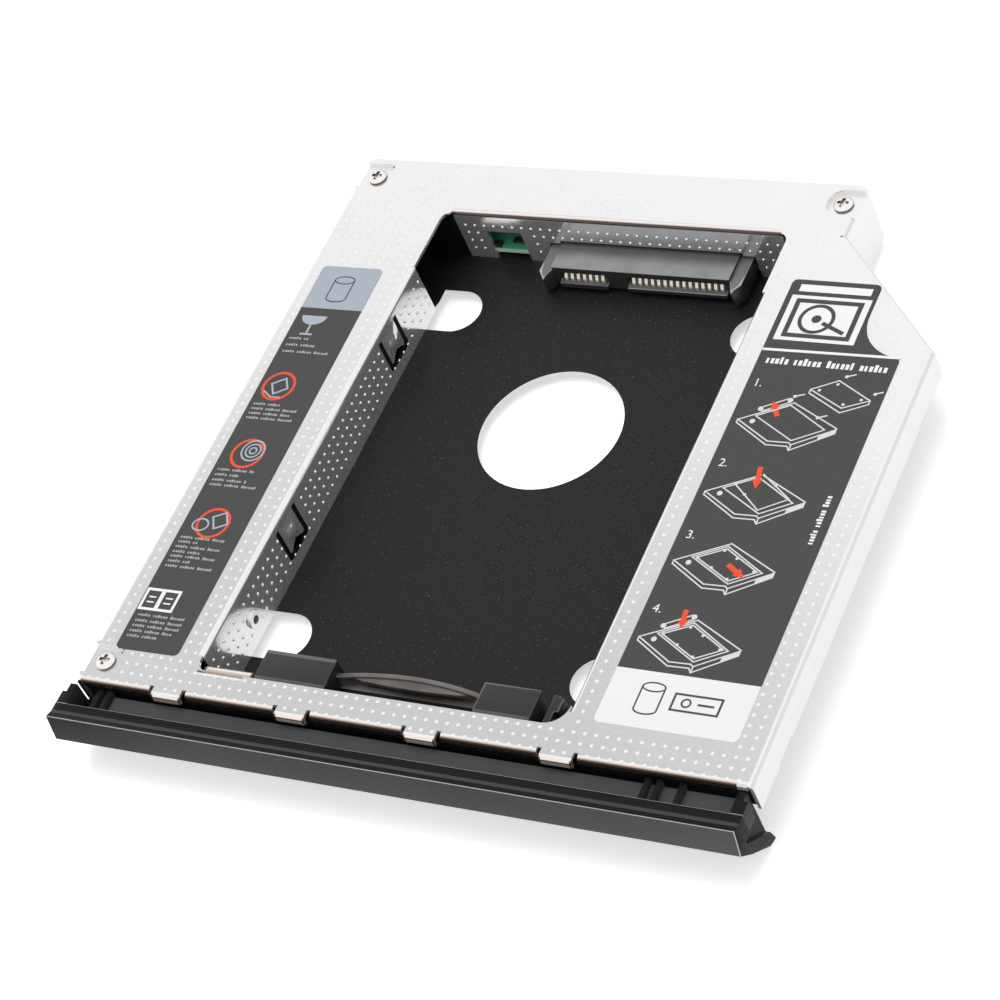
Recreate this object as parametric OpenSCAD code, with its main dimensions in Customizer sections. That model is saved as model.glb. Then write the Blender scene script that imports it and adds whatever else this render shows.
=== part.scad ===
// Slim-bay drive caddy for a laptop: a folded sheet shell over a painted pan, with a moulded front,
// a drive connector on a small circuit board and a lift-out locking bar.
// The pieces are drawn in the metal body's own frame, x from its middle, y from its front edge and
// z from the underside of the pan, and placed at the end so that the origin is under their middle.

/* [Body] */
// Width of the metal body
body_w = 128; // [122:0.5:134]
// Height of the metal body
body_h = 12.7; // [12.3:0.1:14]
// Width of the deep part to the right of the bay
deep_side = 10.7; // [9:0.1:13]
// Depth of the body behind the bay
rear_room = 13.1; // [12.6:0.1:15]
// Height of the thin wing's outer wall
wing_h = 5.8; // [5.2:0.1:6.4]
// Length of the short right wall behind the slanted corner
short_wall = 12.5; // [10:0.5:14]

/* [Sheet] */
// Thickness of the shell's sheet
shell_t = 0.6; // [0.5:0.05:0.8]
// Outside radius of the shell's folds
fold_r = 1; // [0.9:0.1:1.4]
// Thickness of the pan's sheet
pan_t = 0.8; // [0.6:0.1:1]
// Gap between the pan's upturned edges and the shell's walls
sheet_gap = 0.1; // [0.05:0.05:0.25]
// Height of the pan's low side edges
pan_edge_h = 5; // [3:0.5:5.5]
// Gap between the shell's lower edges and the surface that the pan stands on
wall_lift = 0.2; // [0.1:0.1:0.5]
// Height of the shallow nicks in the wing's lower edge
nick_h = 0.4; // [0.2:0.1:0.8]
// Distance of the front nick behind the front edge
nick_y = 8.3; // [6:0.1:12]
// Length of the front nick
nick_len = 5.4; // [4:0.1:8]
// Distance of the rear nick from the slanted corner
rear_nick_in = 3.2; // [2:0.1:6]
// Length of the rear nick
rear_nick_len = 8.9; // [6:0.1:10]

/* [Bay] */
// Width of the drive bay between its walls
bay_w = 70.6; // [70:0.1:71]
// Distance of the bay's middle to the left of the body's middle
bay_offset = 6.6; // [6:0.1:7.2]
// Distance of the window behind the front edge
bay_front = 5.7; // [5.3:0.1:6.3]
// Radius of the window's front right corner
window_r = 4; // [3:0.5:5]
// Gap between the window's front edge and the start of the side walls
wall_start = 2.8; // [2.5:0.1:4]
// Gap between the side walls and the window's rear edge
wall_end = 14; // [12:0.2:18]
// Gap between a bay wall and each corner of the rear wall
rear_relief = 1.6; // [1:0.2:2.5]

/* [Rear wall notch] */
// Distance of the notch from the left bay wall
notch_in = 7.4; // [5:0.2:10]
// Width of the notch
notch_w = 7.2; // [5:0.2:9]
// Height of the notch above the pan's floor
notch_h = 7.2; // [6:0.1:8.6]

/* [Spring tongues] */
// Width of each tongue in the left bay wall
tongue_w = 5.6; // [5:0.2:7]
// Depth of the tongues' free ends below the top face
tongue_end = 8.6; // [8:0.2:9.6]
// Depth of the tongues' roots below the top face
tongue_root = 1.8; // [1.5:0.1:2.5]
// Width of the slot round each tongue
tongue_slot = 0.8; // [0.6:0.1:1.2]
// Distance of the front tongue from the front of the wall
tongue_first = 31.6; // [28:0.5:34]
// Distance of the rear tongue from the rear of the wall
tongue_last = 14.2; // [10:0.2:18]
// Height of the rounded bump on each tongue
bump_h = 0.5; // [0.3:0.1:0.6]
// Radius of the bump where it leaves the tongue
bump_r = 1.7; // [1.3:0.1:2]

/* [Front hooks] */
// Number of hook tabs along the front edge
hooks = 4; // [2:1:4]
// Width of each hook tab
hook_w = 5.8; // [4:0.2:7]
// Distance between hook tabs
hook_pitch = 25; // [22:0.5:26]
// Distance of the first hook from the body's left side
hook_first = 18.9; // [17:0.1:22]
// How far the hooks stand out in front
hook_out = 0.8; // [0.5:0.1:1]
// How far the hooks turn down
hook_drop = 1.6; // [1.4:0.1:2.4]
// Width of the relief slots beside the hooks
hook_slot = 0.8; // [0.5:0.1:1.2]
// Depth of the relief slots
hook_slot_d = 1.2; // [0.8:0.1:1.6]
// Height of the turned-down front lip
lip_drop = 1.2; // [1:0.1:1.6]

/* [Front ledge] */
// Width of the folded ledge in the bay's front left corner
ledge_w = 9.4; // [7:0.2:9.8]
// Depth of the ledge below the top face
ledge_drop = 1.6; // [1.4:0.1:2.2]
// How far the ledge reaches into the bay
ledge_out = 2.4; // [1.8:0.1:2.8]

/* [Floor holes] */
// Diameter of the round hole in the floor
hole_d = 27.4; // [20:0.2:32]
// Distance of the round hole behind the front edge
hole_y = 73.5; // [66:0.5:80]
// Width of the four round-ended slots
slot_w = 10; // [8:0.5:11]
// Distance between the slots' round ends across the bay
slot_dx = 61.7; // [60:0.1:63]
// Distance between the front and rear slots
slot_dy = 76.6; // [75:0.1:78]
// Distance of the front slots behind the window's front edge
slot_in = 16.7; // [15:0.1:19]
// Distance of the rear slots in front of the window's rear edge
slot_rear = 13.9; // [12:0.1:16]
// Length of each slot from its round end's centre outwards
slot_len = 4.7; // [4.5:0.1:6]

/* [Corner screws] */
// Diameter of the screw heads
head_d = 3.6; // [3.2:0.1:4]
// Height of the screw heads
head_h = 0.9; // [0.6:0.1:1.1]
// Width of the cross recess in the heads
cross_w = 0.7; // [0.5:0.1:0.8]
// Depth of the cross recess
cross_h = 0.5; // [0.3:0.1:0.6]
// Diameter of the screw shanks
shank_d = 2; // [1.8:0.1:2.2]
// Length of the corner screws' shanks
shank_len = 6; // [4:0.5:8]
// Gap round a shank in its threaded hole
thread_gap = 0.02; // [0.01:0.01:0.04]
// Gap round a pressed part in its hole
fit_gap = 0.05; // [0.02:0.01:0.1]
// Gap round a shank in a clearance hole
shank_gap = 0.2; // [0.1:0.05:0.4]
// Depth of the sunk pads under the screw heads
pad_drop = 0.9; // [0.7:0.1:1.2]
// Radius of the sunk pads
pad_r = 3; // [2.6:0.1:3.4]
// Distance of the left screws from the left side
screw_side = 3.4; // [3.4:0.1:4.4]
// Distance of the right screw from the short right wall
screw_right = 3.4; // [3.4:0.1:4.4]
// Distance of the rear screws from the rear edge
screw_rear = 4.9; // [4.8:0.1:6]
// Distance of the front screw from the front edge
screw_front = 4.9; // [4.8:0.1:6]
// Outer diameter of the threaded posts
post_d = 3.4; // [3:0.1:3.6]

/* [Bracket holes] */
// Wall radius of the two tapped holes in the rear wall
tap_r = 0.8; // [0.7:0.05:1]
// Distance between the tapped holes
tap_pitch = 14; // [10:0.5:20]
// Distance of the tapped pair's middle from the short right wall
tap_side = 18; // [14:0.5:24]
// Height of the tapped holes above the pan's underside
tap_z = 8.6; // [8.2:0.1:9.4]
// Radius of the drawn necks round the tapped holes
neck_r = 1.4; // [1.3:0.1:1.8]
// Depth of the necks, with the sheet
neck_len = 1.6; // [1.2:0.1:2.2]

/* [Side nut] */
// Distance of the nut from the front of the left bay wall
nut_y = 13.7; // [12:0.2:16]
// Height of the nut above the pan's underside
nut_z = 5.2; // [4:0.1:6]
// Diameter of the nut's flange
nut_flange = 3.6; // [3.2:0.1:4]
// Thickness of the nut's flange
nut_rim = 0.5; // [0.4:0.1:0.8]
// Diameter of the nut's barrel
nut_d = 2.8; // [2.4:0.1:3]
// Length of the nut's barrel
nut_len = 2.4; // [1.8:0.1:3]

/* [Circuit board] */
// Thickness of the board
board_t = 1; // [0.8:0.1:1.6]
// Height of the bosses that carry the board
boss_h = 1; // [0.8:0.1:1.4]
// Diameter of the bosses
boss_d = 5; // [4.4:0.2:6]
// Width of the board
board_w = 91; // [88:0.5:94]
// Distance of the board from the body's left side
board_side = 6; // [5:0.5:8]
// Gap between the board and the pan's rear edge
board_back = 0.9; // [0.4:0.1:1.5]
// Distance of the right board screw from the board's end
board_hole_in = 5; // [4:0.5:8]
// Distance of the left board screw from the host connector
board_hole_out = 3.5; // [2.5:0.1:5]
// Distance of the board screws from the board's rear edge
board_hole_rear = 3.2; // [3:0.1:4]
// Gap between the bay's rear wall and the board
board_gap = 0.1; // [0.1:0.05:0.4]
// Length of the board screws' shanks
board_shank = 2.2; // [1.8:0.1:2.4]

/* [Board parts] */
// Length of a power capacitor
cap_len = 2; // [1.6:0.1:3.2]
// Width of a power capacitor
cap_w = 1.25; // [0.8:0.05:1.6]
// Height of a power capacitor
cap_h = 1; // [0.6:0.1:1.2]
// Distance of the first power capacitor from the first power contact
cap_first = 4; // [2:0.5:8]
// Distance between the power capacitors
cap_pitch = 8; // [4:0.5:10]
// Distance of the power capacitors behind the board's front edge
cap_in = 6; // [5:0.1:7]
// Length of the part that shows in the notch
chip_len = 2.4; // [1.6:0.1:3]
// Width of the parts beside the notch
chip_w = 1.2; // [0.8:0.1:1.4]
// Height of the part that shows in the notch
chip_h = 0.6; // [0.4:0.1:0.9]
// Distance of that part behind the board's front edge
chip_in = 1.4; // [1:0.1:2]
// Length of the capacitor at the notch's edge
edge_cap_len = 1.4; // [1:0.1:2]
// Height of the capacitor at the notch's edge
edge_cap_h = 0.9; // [0.6:0.1:1.2]

/* [Drive connector] */
// Distance between contacts
contact_pitch = 1.27; // [1.25:0.01:1.29]
// Number of signal contacts
signal_n = 7; // [7:1:7]
// Number of power contacts
power_n = 15; // [15:1:15]
// Distance between the last signal contact and the first power contact
key_step = 6.35; // [6:0.05:6.8]
// Height of a contact's flat part
contact_base = 0.45; // [0.3:0.05:0.5]
// Height of a contact's raised tip
contact_rise = 1.3; // [1:0.1:1.6]
// Width of a contact
contact_w = 0.6; // [0.5:0.05:0.8]
// Distance of the housing's ends from the outermost contacts
conn_end = 2.225; // [1.8:0.025:3]
// Height of the housing's top above the pan's underside
conn_top = 6.2; // [5.9:0.1:6.6]
// Thickness of the housing's sole under the contact slots
slot_sole = 1.3; // [1:0.1:1.5]
// Height of the contact slots
slot_h = 2; // [1.8:0.1:2.2]
// Depth of the contact slots
slot_deep = 5.2; // [4.6:0.1:5.6]
// How far the sole's lip stands ahead of the housing
lip_out = 0.8; // [0.5:0.1:1]
// Height of the housing's underside above the pan's underside
conn_low = 1.5; // [1.2:0.1:1.7]
// How far the housing stands into the bay
conn_out = 6; // [5:0.1:7]
// Distance of the connector's middle to the right of the bay's middle
conn_shift = 5.75; // [5:0.05:7]
// Width of a guide arm
arm_w = 2.4; // [1.8:0.1:2.6]
// How much lower the guide arms' top lies
arm_low = 0.7; // [0.4:0.1:1]
// How far the guide arms stand ahead of the housing
arm_out = 2.4; // [2:0.1:3.2]
// Height of the bevel on the guide arms' tips
arm_bevel = 0.4; // [0.2:0.1:0.8]
// Slope of that bevel in degrees
arm_slope = 35; // [20:1:50]
// Depth of the housing's rear foot on the board
conn_foot = 3.4; // [3:0.1:4]
// Gap round the connector in the rear wall
conn_gap = 0.5; // [0.3:0.1:1]

/* [Host connector] */
// Distance of the host connector's middle from the body's left side
host_x = 24; // [22:0.5:28]
// Width of the host connector
host_w = 30; // [29:0.2:32]
// Height of the host connector above the board
host_h = 4.2; // [3.8:0.1:4.6]
// Gap between the board's front edge and the host connector
host_in = 4.2; // [3:0.1:5]
// Gap between the host connector's face and the rear edge
host_set = 0.2; // [0.1:0.1:0.5]
// Wall of the host connector's socket
host_wall = 0.8; // [0.7:0.1:1]
// Depth of the host connector's socket
host_deep = 5; // [4.5:0.1:5.6]
// Number of host power contacts
host_power_n = 6; // [6:1:6]
// Distance between the host's signal and power contacts
host_step = 4.4; // [4:0.1:5]
// Thickness of the host connector's tongue
host_tongue = 1; // [0.8:0.1:1.1]
// Thickness of the host contacts
host_contact_t = 0.2; // [0.15:0.05:0.3]

/* [Locking bar] */
// Gap between the bar and what stands round it
bar_gap = 0.4; // [0.3:0.05:0.6]
// Depth of the pads' top below the shell's top face
pad_low = 1.5; // [1.2:0.1:2]
// Depth of the pads, front to rear
pad_d = 6.6; // [6:0.1:6.8]
// Width of the left pad
left_pad_w = 13.9; // [12:0.1:15]
// Width of the right pad
right_pad_w = 10.5; // [9:0.1:12]
// Distance of the left pad from the left bay wall
left_pad_in = 10.5; // [10.4:0.1:12]
// Distance of the right pad from the right bay wall
right_pad_in = 7.2; // [6.8:0.1:9]
// Size of the bevel along the pads' front edge
pad_bevel = 1.2; // [0.8:0.1:1.6]
// Distance of the leaf's ends behind the bar's front
leaf_in = 5.2; // [4.8:0.1:5.6]
// Thickness of the flat web inside the leaf
leaf_web = 1; // [0.8:0.1:1.4]
// Depth of the right web's top below the shell's top face
web_low = 6; // [5:0.2:8]
// Depth of the hook post's top below the shell's top face
post_low = 2.6; // [2:0.1:4]
// Distance of the hook post from the right end of the bar's room
post_in = 4.9; // [4:0.1:5.4]
// Depth of the leaf's top below the shell's top face
leaf_low = 3.4; // [3:0.1:5]
// Height of the leaf
leaf_h = 5; // [4:0.2:6]
// Thickness of the leaf
leaf_t = 0.9; // [0.7:0.1:1.2]
// How far the leaf bows towards the drive
leaf_bow = 1.6; // [1.2:0.1:2]
// Gap under the seated bar
bar_seat = 0.1; // [0.05:0.05:0.2]
// Wall thickness of the pads
bar_wall = 1.2; // [1:0.1:1.6]
// Thickness of the bar's base strip
bar_base = 1.2; // [1:0.1:1.6]
// Depth of the hook post, front to rear
post_len = 6.4; // [5:0.2:6.8]
// Size of the nib on the hook post
post_nib = 0.8; // [0.5:0.1:1.2]

/* [Bezel] */
// Width of the bezel
bezel_w = 130; // [128:0.5:134]
// How far the bezel stands out past the body's left side
bezel_left = 2.4; // [1.8:0.1:3]
// Distance of the front face's top edge in front of the metal
bezel_y = 7.7; // [7:0.1:8.4]
// How much further forward the front face's lower edge lies
face_lean = 1; // [0.5:0.1:1.4]
// Height of the front face
bezel_face = 5.3; // [5:0.1:6]
// Depth of the bezel's lowest edge below the top face
bezel_low = 14.4; // [14.2:0.1:15]
// Depth of the bezel's top edge below the top face
bezel_top = 0.7; // [0.5:0.1:1]
// Depth of the top rim, front to rear
rim_d = 3.4; // [3:0.1:4]
// Length of the raised part of each end
bezel_side = 5.9; // [5:0.1:6.4]
// Distance of the underside's knee in front of the metal
knee_y = 6; // [5.4:0.1:6.6]
// Distance of the underside's heel in front of the metal
heel_y = 1.5; // [1:0.1:2]
// Height of the heel above the lowest edge
heel_rise = 0.65; // [0.4:0.05:0.9]
// How far the lowest edge reaches under the shell
lip_back = 0.5; // [0.3:0.05:0.6]
// Height of the bezel's open rear edge above its lowest edge
lip_rise = 2.5; // [2.2:0.1:2.8]
// Thickness of the bezel's walls
bezel_t = 1.4; // [1.2:0.1:1.6]
// How far the bezel's ends are sunk behind the raised edge
end_sunk = 0.8; // [0.5:0.1:1]
// Height of the web that closes the trough, above the pan's underside
trough_h = 7.3; // [6:0.1:9]
// Thickness of that web
web_t = 1.1; // [0.8:0.1:1.4]
// Depth of the ribs' top below the bezel's top edge
rib_low = 0.7; // [0.6:0.1:2]
// Distance of the left ribs from the left end's inside
rib_left = 5; // [4:0.5:8]
// Distance of the right ribs from the right end's inside
rib_right = 9.4; // [8:0.2:12]
// Distance between the single rib and the pair at the right
rib_gap = 4; // [3:0.5:5]
// Distance between paired ribs
rib_pair = 2; // [1.6:0.1:2.4]
// Thickness of the ribs
rib_t = 0.8; // [0.6:0.1:1]
// Gap between the bezel and the metal
clip_gap = 0.1; // [0.05:0.05:0.2]
// Number of clips
clips = 3; // [2:1:3]
// Distance of the first clip from the body's left side
clip_first = 14; // [12:0.5:18]
// Distance between clips
clip_pitch = 38; // [30:0.5:40]
// Height of the clips above the pan's underside
clip_z = 4; // [3:0.1:5]
// Thickness of the clips
clip_t = 1; // [0.8:0.1:1.4]
// Height of the nib on each clip
clip_nib = 0.5; // [0.3:0.1:0.7]
// Gap round a clip in its slot
clip_room = 0.3; // [0.2:0.1:0.5]
// Width of the bezel's clips
clip_w = 6; // [5:0.2:7]
// Length of the clips' hooked tips
clip_tip = 1.2; // [0.8:0.1:1.6]
// Length of the brow along the front face's top edge
brow_d = 1.4; // [1:0.1:2]
// Height of that brow's slope
brow_drop = 0.5; // [0.3:0.1:0.8]
// How much lower the top rim's rear lies
rim_drop = 0.6; // [0.4:0.1:0.9]

/* [Labels] */
// Thickness of the labels
label_t = 0.1; // [0.08:0.01:0.15]
// Width of the left label
left_label_w = 13; // [12:0.1:14]
// Length of the left label
left_label_len = 89.8; // [84:0.2:92]
// Distance of the left label from the left side
left_label_in = 3.7; // [3:0.1:4.2]
// Slant of the left label
left_label_turn = 0.7; // [0:0.1:1]
// Distance of the left label behind the front edge
left_label_y = 7.6; // [7.6:0.1:9]
// Distance of the right label from the right side
right_label_out = 5.3; // [4:0.1:7]
// Distance of the right label's wide part from the slanted corner
right_label_rear = 2.3; // [1:0.1:4]
// Distance of the right label from the right bay wall
right_label_in = 4.8; // [4:0.1:6]
// Distance of the right label behind the front edge
right_label_y = 7.4; // [7:0.1:9]
// Radius of the curve beside the right label's narrow head
label_curve = 8.6; // [6:0.1:10]
// Length of the narrow head
head_label_len = 15.8; // [14:0.2:16]
// Radius of the labels' corners
label_r = 1; // [0.6:0.1:1.5]
// How much of the right label's curve is cut off at its thin ends
curve_cut = 0.3; // [0.2:0.1:0.6]

/* [Hidden] */
$fn = 48;

aluminium = [0.86, 0.86, 0.87];
black_paint = [0.12, 0.12, 0.13];
black_plastic = [0.17, 0.17, 0.17];
grey_plastic = [0.36, 0.38, 0.39];
green_board = [0.1, 0.42, 0.24];
gold = [0.85, 0.72, 0.42];
steel = [0.75, 0.74, 0.72];

far = 60;
// Overlap of sheets that are folded from one piece
lap = 0.1;
side_x = body_w / 2;
bay_x = -bay_offset;
bay_l = bay_x - bay_w / 2;
bay_r = bay_x + bay_w / 2;
slot_y = bay_front + slot_in;
bay_rear = slot_y + slot_dy + slot_rear;
walls_y = bay_front + wall_start;
wall_len = bay_rear - wall_end - walls_y;
tongues = [walls_y + tongue_first, walls_y + wall_len - tongue_last];
body_d = bay_rear + rear_room;
deep_x = bay_r + deep_side;
deep_w = side_x + deep_x;
wing_w = side_x - deep_x;
short_y = body_d - short_wall;
corner_y = short_y - wing_w;
slant = sqrt(2) - 1;
under_top = body_h - shell_t;
// The pan's upturned edges lie inside the shell's walls
pan_in = shell_t + sheet_gap;
wing_floor = body_h - wing_h;
pad_top = body_h - pad_drop;
tap_x = deep_x - tap_side;
board_top = pan_t + boss_h + board_t;
notch_x = bay_l + notch_in;
board_x = -side_x + board_side;
board_y = bay_rear + shell_t + board_gap;
board_d = body_d - pan_in - pan_t - board_back - board_y;
board_hole_y = board_y + board_d - board_hole_rear;
conn_x = bay_x + conn_shift;
conn_y = bay_rear - conn_out;
conn_back = board_y - sheet_gap;
conn_span = (signal_n + power_n - 2) * contact_pitch + key_step;
conn_w = conn_span + 2 * conn_end;
signal_x = conn_x - conn_span / 2;
power_x = signal_x + (signal_n - 1) * contact_pitch + key_step;
slot_floor = conn_low + slot_sole;
host_mid = -side_x + host_x;
host_y = board_y + host_in;
host_d = body_d - host_set - host_y;
board_holes = [host_mid + host_w / 2 + board_hole_out, board_x + board_w - board_hole_in];
host_span = (signal_n + host_power_n - 2) * contact_pitch + host_step;
host_signal_x = host_mid - host_span / 2;
host_power_x = host_signal_x + (signal_n - 1) * contact_pitch + host_step;
bar_low = pan_t + bar_seat;
bar_front = bay_front + bar_gap;
top_z = body_h - bezel_top;
low_z = body_h - bezel_low;
leaf_y = bar_front + leaf_in;
clip_x = [for (i = [0:clips - 1]) -side_x + clip_first + i * clip_pitch];
clip_root = pan_in + pan_t + clip_gap;
right_label_w = side_x - right_label_out - bay_r - right_label_in;
right_label_len = corner_y - right_label_rear - right_label_y;
// Small parts on the board: x, distance behind the board's front edge, and size
caps = [[notch_x - edge_cap_len / 3, board_gap / 2, [edge_cap_len, chip_w, edge_cap_h]],
    [notch_x + chip_len * 1.25, chip_in, [chip_len, chip_w, chip_h]],
    for (i = [0, 1]) [power_x + cap_first + i * cap_pitch, cap_in, [cap_len, cap_w, cap_h]]];

function outline(inset, front) = [
    [-side_x + inset, front], [side_x - inset, front], [side_x - inset, corner_y - inset * slant],
    [deep_x - inset, short_y - inset * slant], [deep_x - inset, body_d - inset],
    [-side_x + inset, body_d - inset]];

// Everything is placed so that the origin is under the middle of the whole object
module placed() {
    left = -side_x - bezel_left;
    right = max(side_x, left + bezel_w);
    front = -bezel_y - face_lean;
    translate([-(left + right) / 2, -(front + body_d) / 2, bezel_low - body_h]) children();
}

// One folded wall: its outer face is at x = 0 and faces +x, its fold's top is at z = 0,
// and it runs along +y
module folded_wall(len, drop, r = fold_r) {
    translate([0, len, 0]) rotate([90, 0, 0]) linear_extrude(len) {
        intersection() {
            translate([-r, -r]) difference() {
                circle(r);
                circle(r - shell_t);
            }
            translate([-r, -r]) square(r);
        }
        translate([-shell_t, -drop]) square([shell_t, drop - r + lap]);
        translate([-r - lap, -shell_t]) square([2 * lap, shell_t]);
    }
}

module wall_at(x, y, turn, len, drop, r = fold_r)
    translate([x, y, body_h]) rotate([0, 0, turn]) folded_wall(len, drop, r);

// Screw places: x, y and the direction in which the pad opens
screws = [[-side_x + screw_side, body_d - screw_rear, -1], [deep_x - screw_right, body_d - screw_rear, 1],
    [-side_x + screw_side, screw_front, -1]];

module pad_shape(place, r) {
    translate([place[0], place[1]]) circle(r);
    open_to = place[2] < 0 ? place[0] + side_x : deep_x - place[0];
    translate([place[2] < 0 ? place[0] - open_to : place[0], place[1] - r]) square([open_to, 2 * r]);
}

// Window of the bay, with its own radius in each corner
module window_shape() {
    small = window_r / 2;
    difference() {
        translate([bay_l, bay_front]) square([bay_w, bay_rear - bay_front]);
        window_corner(bay_r, bay_front, window_r, 1, -1);
        window_corner(bay_l, bay_front, small, -1, -1);
        window_corner(bay_l, bay_rear, small, -1, 1);
        window_corner(bay_r, bay_rear, small, 1, 1);
    }
}

module window_corner(x, y, r, sx, sy) {
    translate([x, y]) mirror([sx < 0 ? 1 : 0, 0]) mirror([0, sy < 0 ? 1 : 0]) difference() {
        translate([-r, -r]) square(2 * r);
        translate([-r, -r]) circle(r);
    }
}

// Folded sheet shell
module tongue_cut() {
    translate([bay_l - shell_t - 1, 0, 0]) rotate([90, 0, 90]) linear_extrude(shell_t + 2) difference() {
        translate([-tongue_w / 2 - tongue_slot, body_h - tongue_end - tongue_slot])
            square([tongue_w + 2 * tongue_slot, tongue_end + tongue_slot - tongue_root]);
        translate([-tongue_w / 2, body_h - tongue_end]) square([tongue_w, tongue_end]);
    }
}

module bump() {
    ball_r = (bump_r * bump_r + bump_h * bump_h) / (2 * bump_h);
    bump_z = body_h - (tongue_end + tongue_root) / 2;
    translate([bay_l, 0, bump_z]) intersection() {
        translate([bump_h - ball_r, 0, 0]) sphere(ball_r);
        translate([0, -bump_r, -bump_r]) cube([bump_h, 2 * bump_r, 2 * bump_r]);
    }
}

hook_x = [for (i = [0:hooks - 1]) -side_x + hook_first + i * hook_pitch];
ledge_x = bay_l + bar_gap;

module plate() translate([0, 0, under_top]) linear_extrude(shell_t) difference() {
    polygon(outline(fold_r, fold_r));
    window_shape();
    translate([bay_l - fold_r, walls_y]) square([fold_r, wall_len]);
    translate([bay_r, walls_y]) square([fold_r, wall_len]);
    translate([bay_l + rear_relief, bay_rear]) square([bay_w - 2 * rear_relief, fold_r]);
    translate([ledge_x, bay_front - fold_r]) square([ledge_w, fold_r]);
    for (p = screws) pad_shape(p, pad_r);
    for (x = hook_x) for (dx = [-hook_w / 2 - hook_slot, hook_w / 2])
        translate([x + dx, 0]) square([hook_slot, hook_slot_d]);
}

module front_edge() {
    difference() {
        wall_at(-side_x + fold_r, 0, -90, body_w - 2 * fold_r, lip_drop);
        for (x = hook_x) translate([x - hook_w / 2 - hook_slot, -1, under_top - far / 2])
            cube([hook_w + 2 * hook_slot, far, far]);
    }
    for (x = hook_x) {
        wall_at(x - hook_w / 2, -hook_out, -90, hook_w, hook_drop);
        translate([x - hook_w / 2, fold_r - hook_out, under_top])
            cube([hook_w, hook_slot_d + hook_out, shell_t]);
    }
}

module ledge() {
    wall_at(ledge_x + ledge_w, bay_front, 90, ledge_w, ledge_drop + shell_t / 2);
    translate([ledge_x, bay_front - shell_t, body_h - ledge_drop - shell_t])
        cube([ledge_w, ledge_out + shell_t - fold_r, shell_t]);
    translate([0, 0, -ledge_drop])
        wall_at(ledge_x + ledge_w, bay_front + ledge_out, 90, ledge_w, body_h - ledge_drop - pan_t);
}

module rear_wall() {
    difference() {
        wall_at(bay_l + rear_relief, bay_rear, -90, bay_w - 2 * rear_relief, body_h - pan_t);
        translate([notch_x, bay_rear - 1, pan_t - 1]) cube([notch_w, 2 + shell_t, notch_h + 1]);
        translate([conn_x - conn_w / 2 - conn_gap, bay_rear - 1, pan_t - 1])
            cube([conn_w + 2 * conn_gap, 2 + shell_t, conn_top + conn_gap - pan_t + 1]);
        arm_room = arm_w + conn_gap;
        translate([conn_x - conn_w / 2 - arm_room, bay_rear - 1, pan_t - 1])
            cube([conn_w + 2 * arm_room, 2 + shell_t, conn_top - arm_low + conn_gap - pan_t + 1]);
    }
}

module sunk_pad(p) {
    difference() {
        translate([0, 0, pad_top - shell_t]) linear_extrude(pad_drop + shell_t) intersection() {
            pad_shape(p, pad_r + shell_t);
            polygon(outline(0, 0));
        }
        translate([p[0], p[1], pad_top - far / 2]) cylinder(d = shank_d + 2 * shank_gap, h = far);
    }
}

module outer_walls() {
    deep_drop = body_h - wall_lift;
    wall_at(-side_x, body_d - fold_r, 180, body_d - 2 * fold_r, deep_drop);
    wall_at(deep_x - fold_r, body_d, 90, deep_w - 2 * fold_r, deep_drop);
    wall_at(deep_x, short_y - shell_t / 2, 0, short_wall + shell_t / 2 - fold_r, deep_drop);
    wall_at(side_x, corner_y, 45, wing_w * sqrt(2), wing_h);
    difference() {
        wall_at(side_x, fold_r, 0, corner_y - fold_r, wing_h);
        for (n = [[nick_y, nick_len], [corner_y - rear_nick_in - rear_nick_len, rear_nick_len]])
            translate([side_x - 1, n[0], wing_floor - 1]) cube([2, n[1], nick_h + 1]);
    }
    for (s = [-1, 1]) translate([tap_x + s * tap_pitch / 2, body_d, tap_z])
        rotate([90, 0, 0]) cylinder(r = neck_r, h = neck_len);
}

module top_shell() placed() color(aluminium) difference() {
    union() {
        plate();
        front_edge();
        ledge();
        rear_wall();
        outer_walls();
        wall_at(bay_l, walls_y, 0, wall_len, body_h - pan_t);
        wall_at(bay_r, walls_y + wall_len, 180, wall_len, body_h - pan_t);
        for (y = tongues) translate([0, y, 0]) bump();
        for (p = screws) sunk_pad(p);
    }
    for (y = tongues) translate([0, y, 0]) tongue_cut();
    for (p = screws) translate([0, 0, pad_top]) linear_extrude(far) {
        pad_shape(p, pad_r);
        translate([p[0] + p[2] * pad_r, p[1] - pad_r]) square([2 * pad_r, 2 * pad_r]);
    }
    translate([bay_l - shell_t - 1, walls_y + nut_y, nut_z]) rotate([0, 90, 0])
        cylinder(d = nut_d + 2 * fit_gap, h = shell_t + 2);
    for (s = [-1, 1]) translate([tap_x + s * tap_pitch / 2, body_d + 1, tap_z])
        rotate([90, 0, 0]) cylinder(r = tap_r, h = neck_len + 2);
    translate([-side_x + host_x - host_w / 2 - conn_gap, body_d - shell_t - 1, board_top - conn_gap])
        cube([host_w + 2 * conn_gap, far, host_h + 2 * conn_gap]);
}

// Painted floor pan
module deep_floor() {
    x0 = -side_x + pan_in;
    difference() {
        translate([x0, pan_in]) square([deep_x - pan_in - x0, body_d - 2 * pan_in]);
        translate([bay_x, hole_y]) circle(d = hole_d, $fn = 96);
        for (s = [-1, 1]) for (y = [slot_y, slot_y + slot_dy]) translate([bay_x + s * slot_dx / 2, y]) {
            circle(d = slot_w);
            translate([s < 0 ? -slot_len : 0, -slot_w / 2]) square([slot_len, slot_w]);
        }
        for (x = board_holes) translate([x, board_hole_y]) circle(d = shank_d + 2 * thread_gap);
    }
}

module wing_floor_shape() {
    x0 = deep_x - pan_in - pan_t;
    edge = outline(pan_in, pan_in);
    polygon([[x0, pan_in], edge[1], edge[2], edge[3], [x0, edge[3][1]]]);
}

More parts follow.
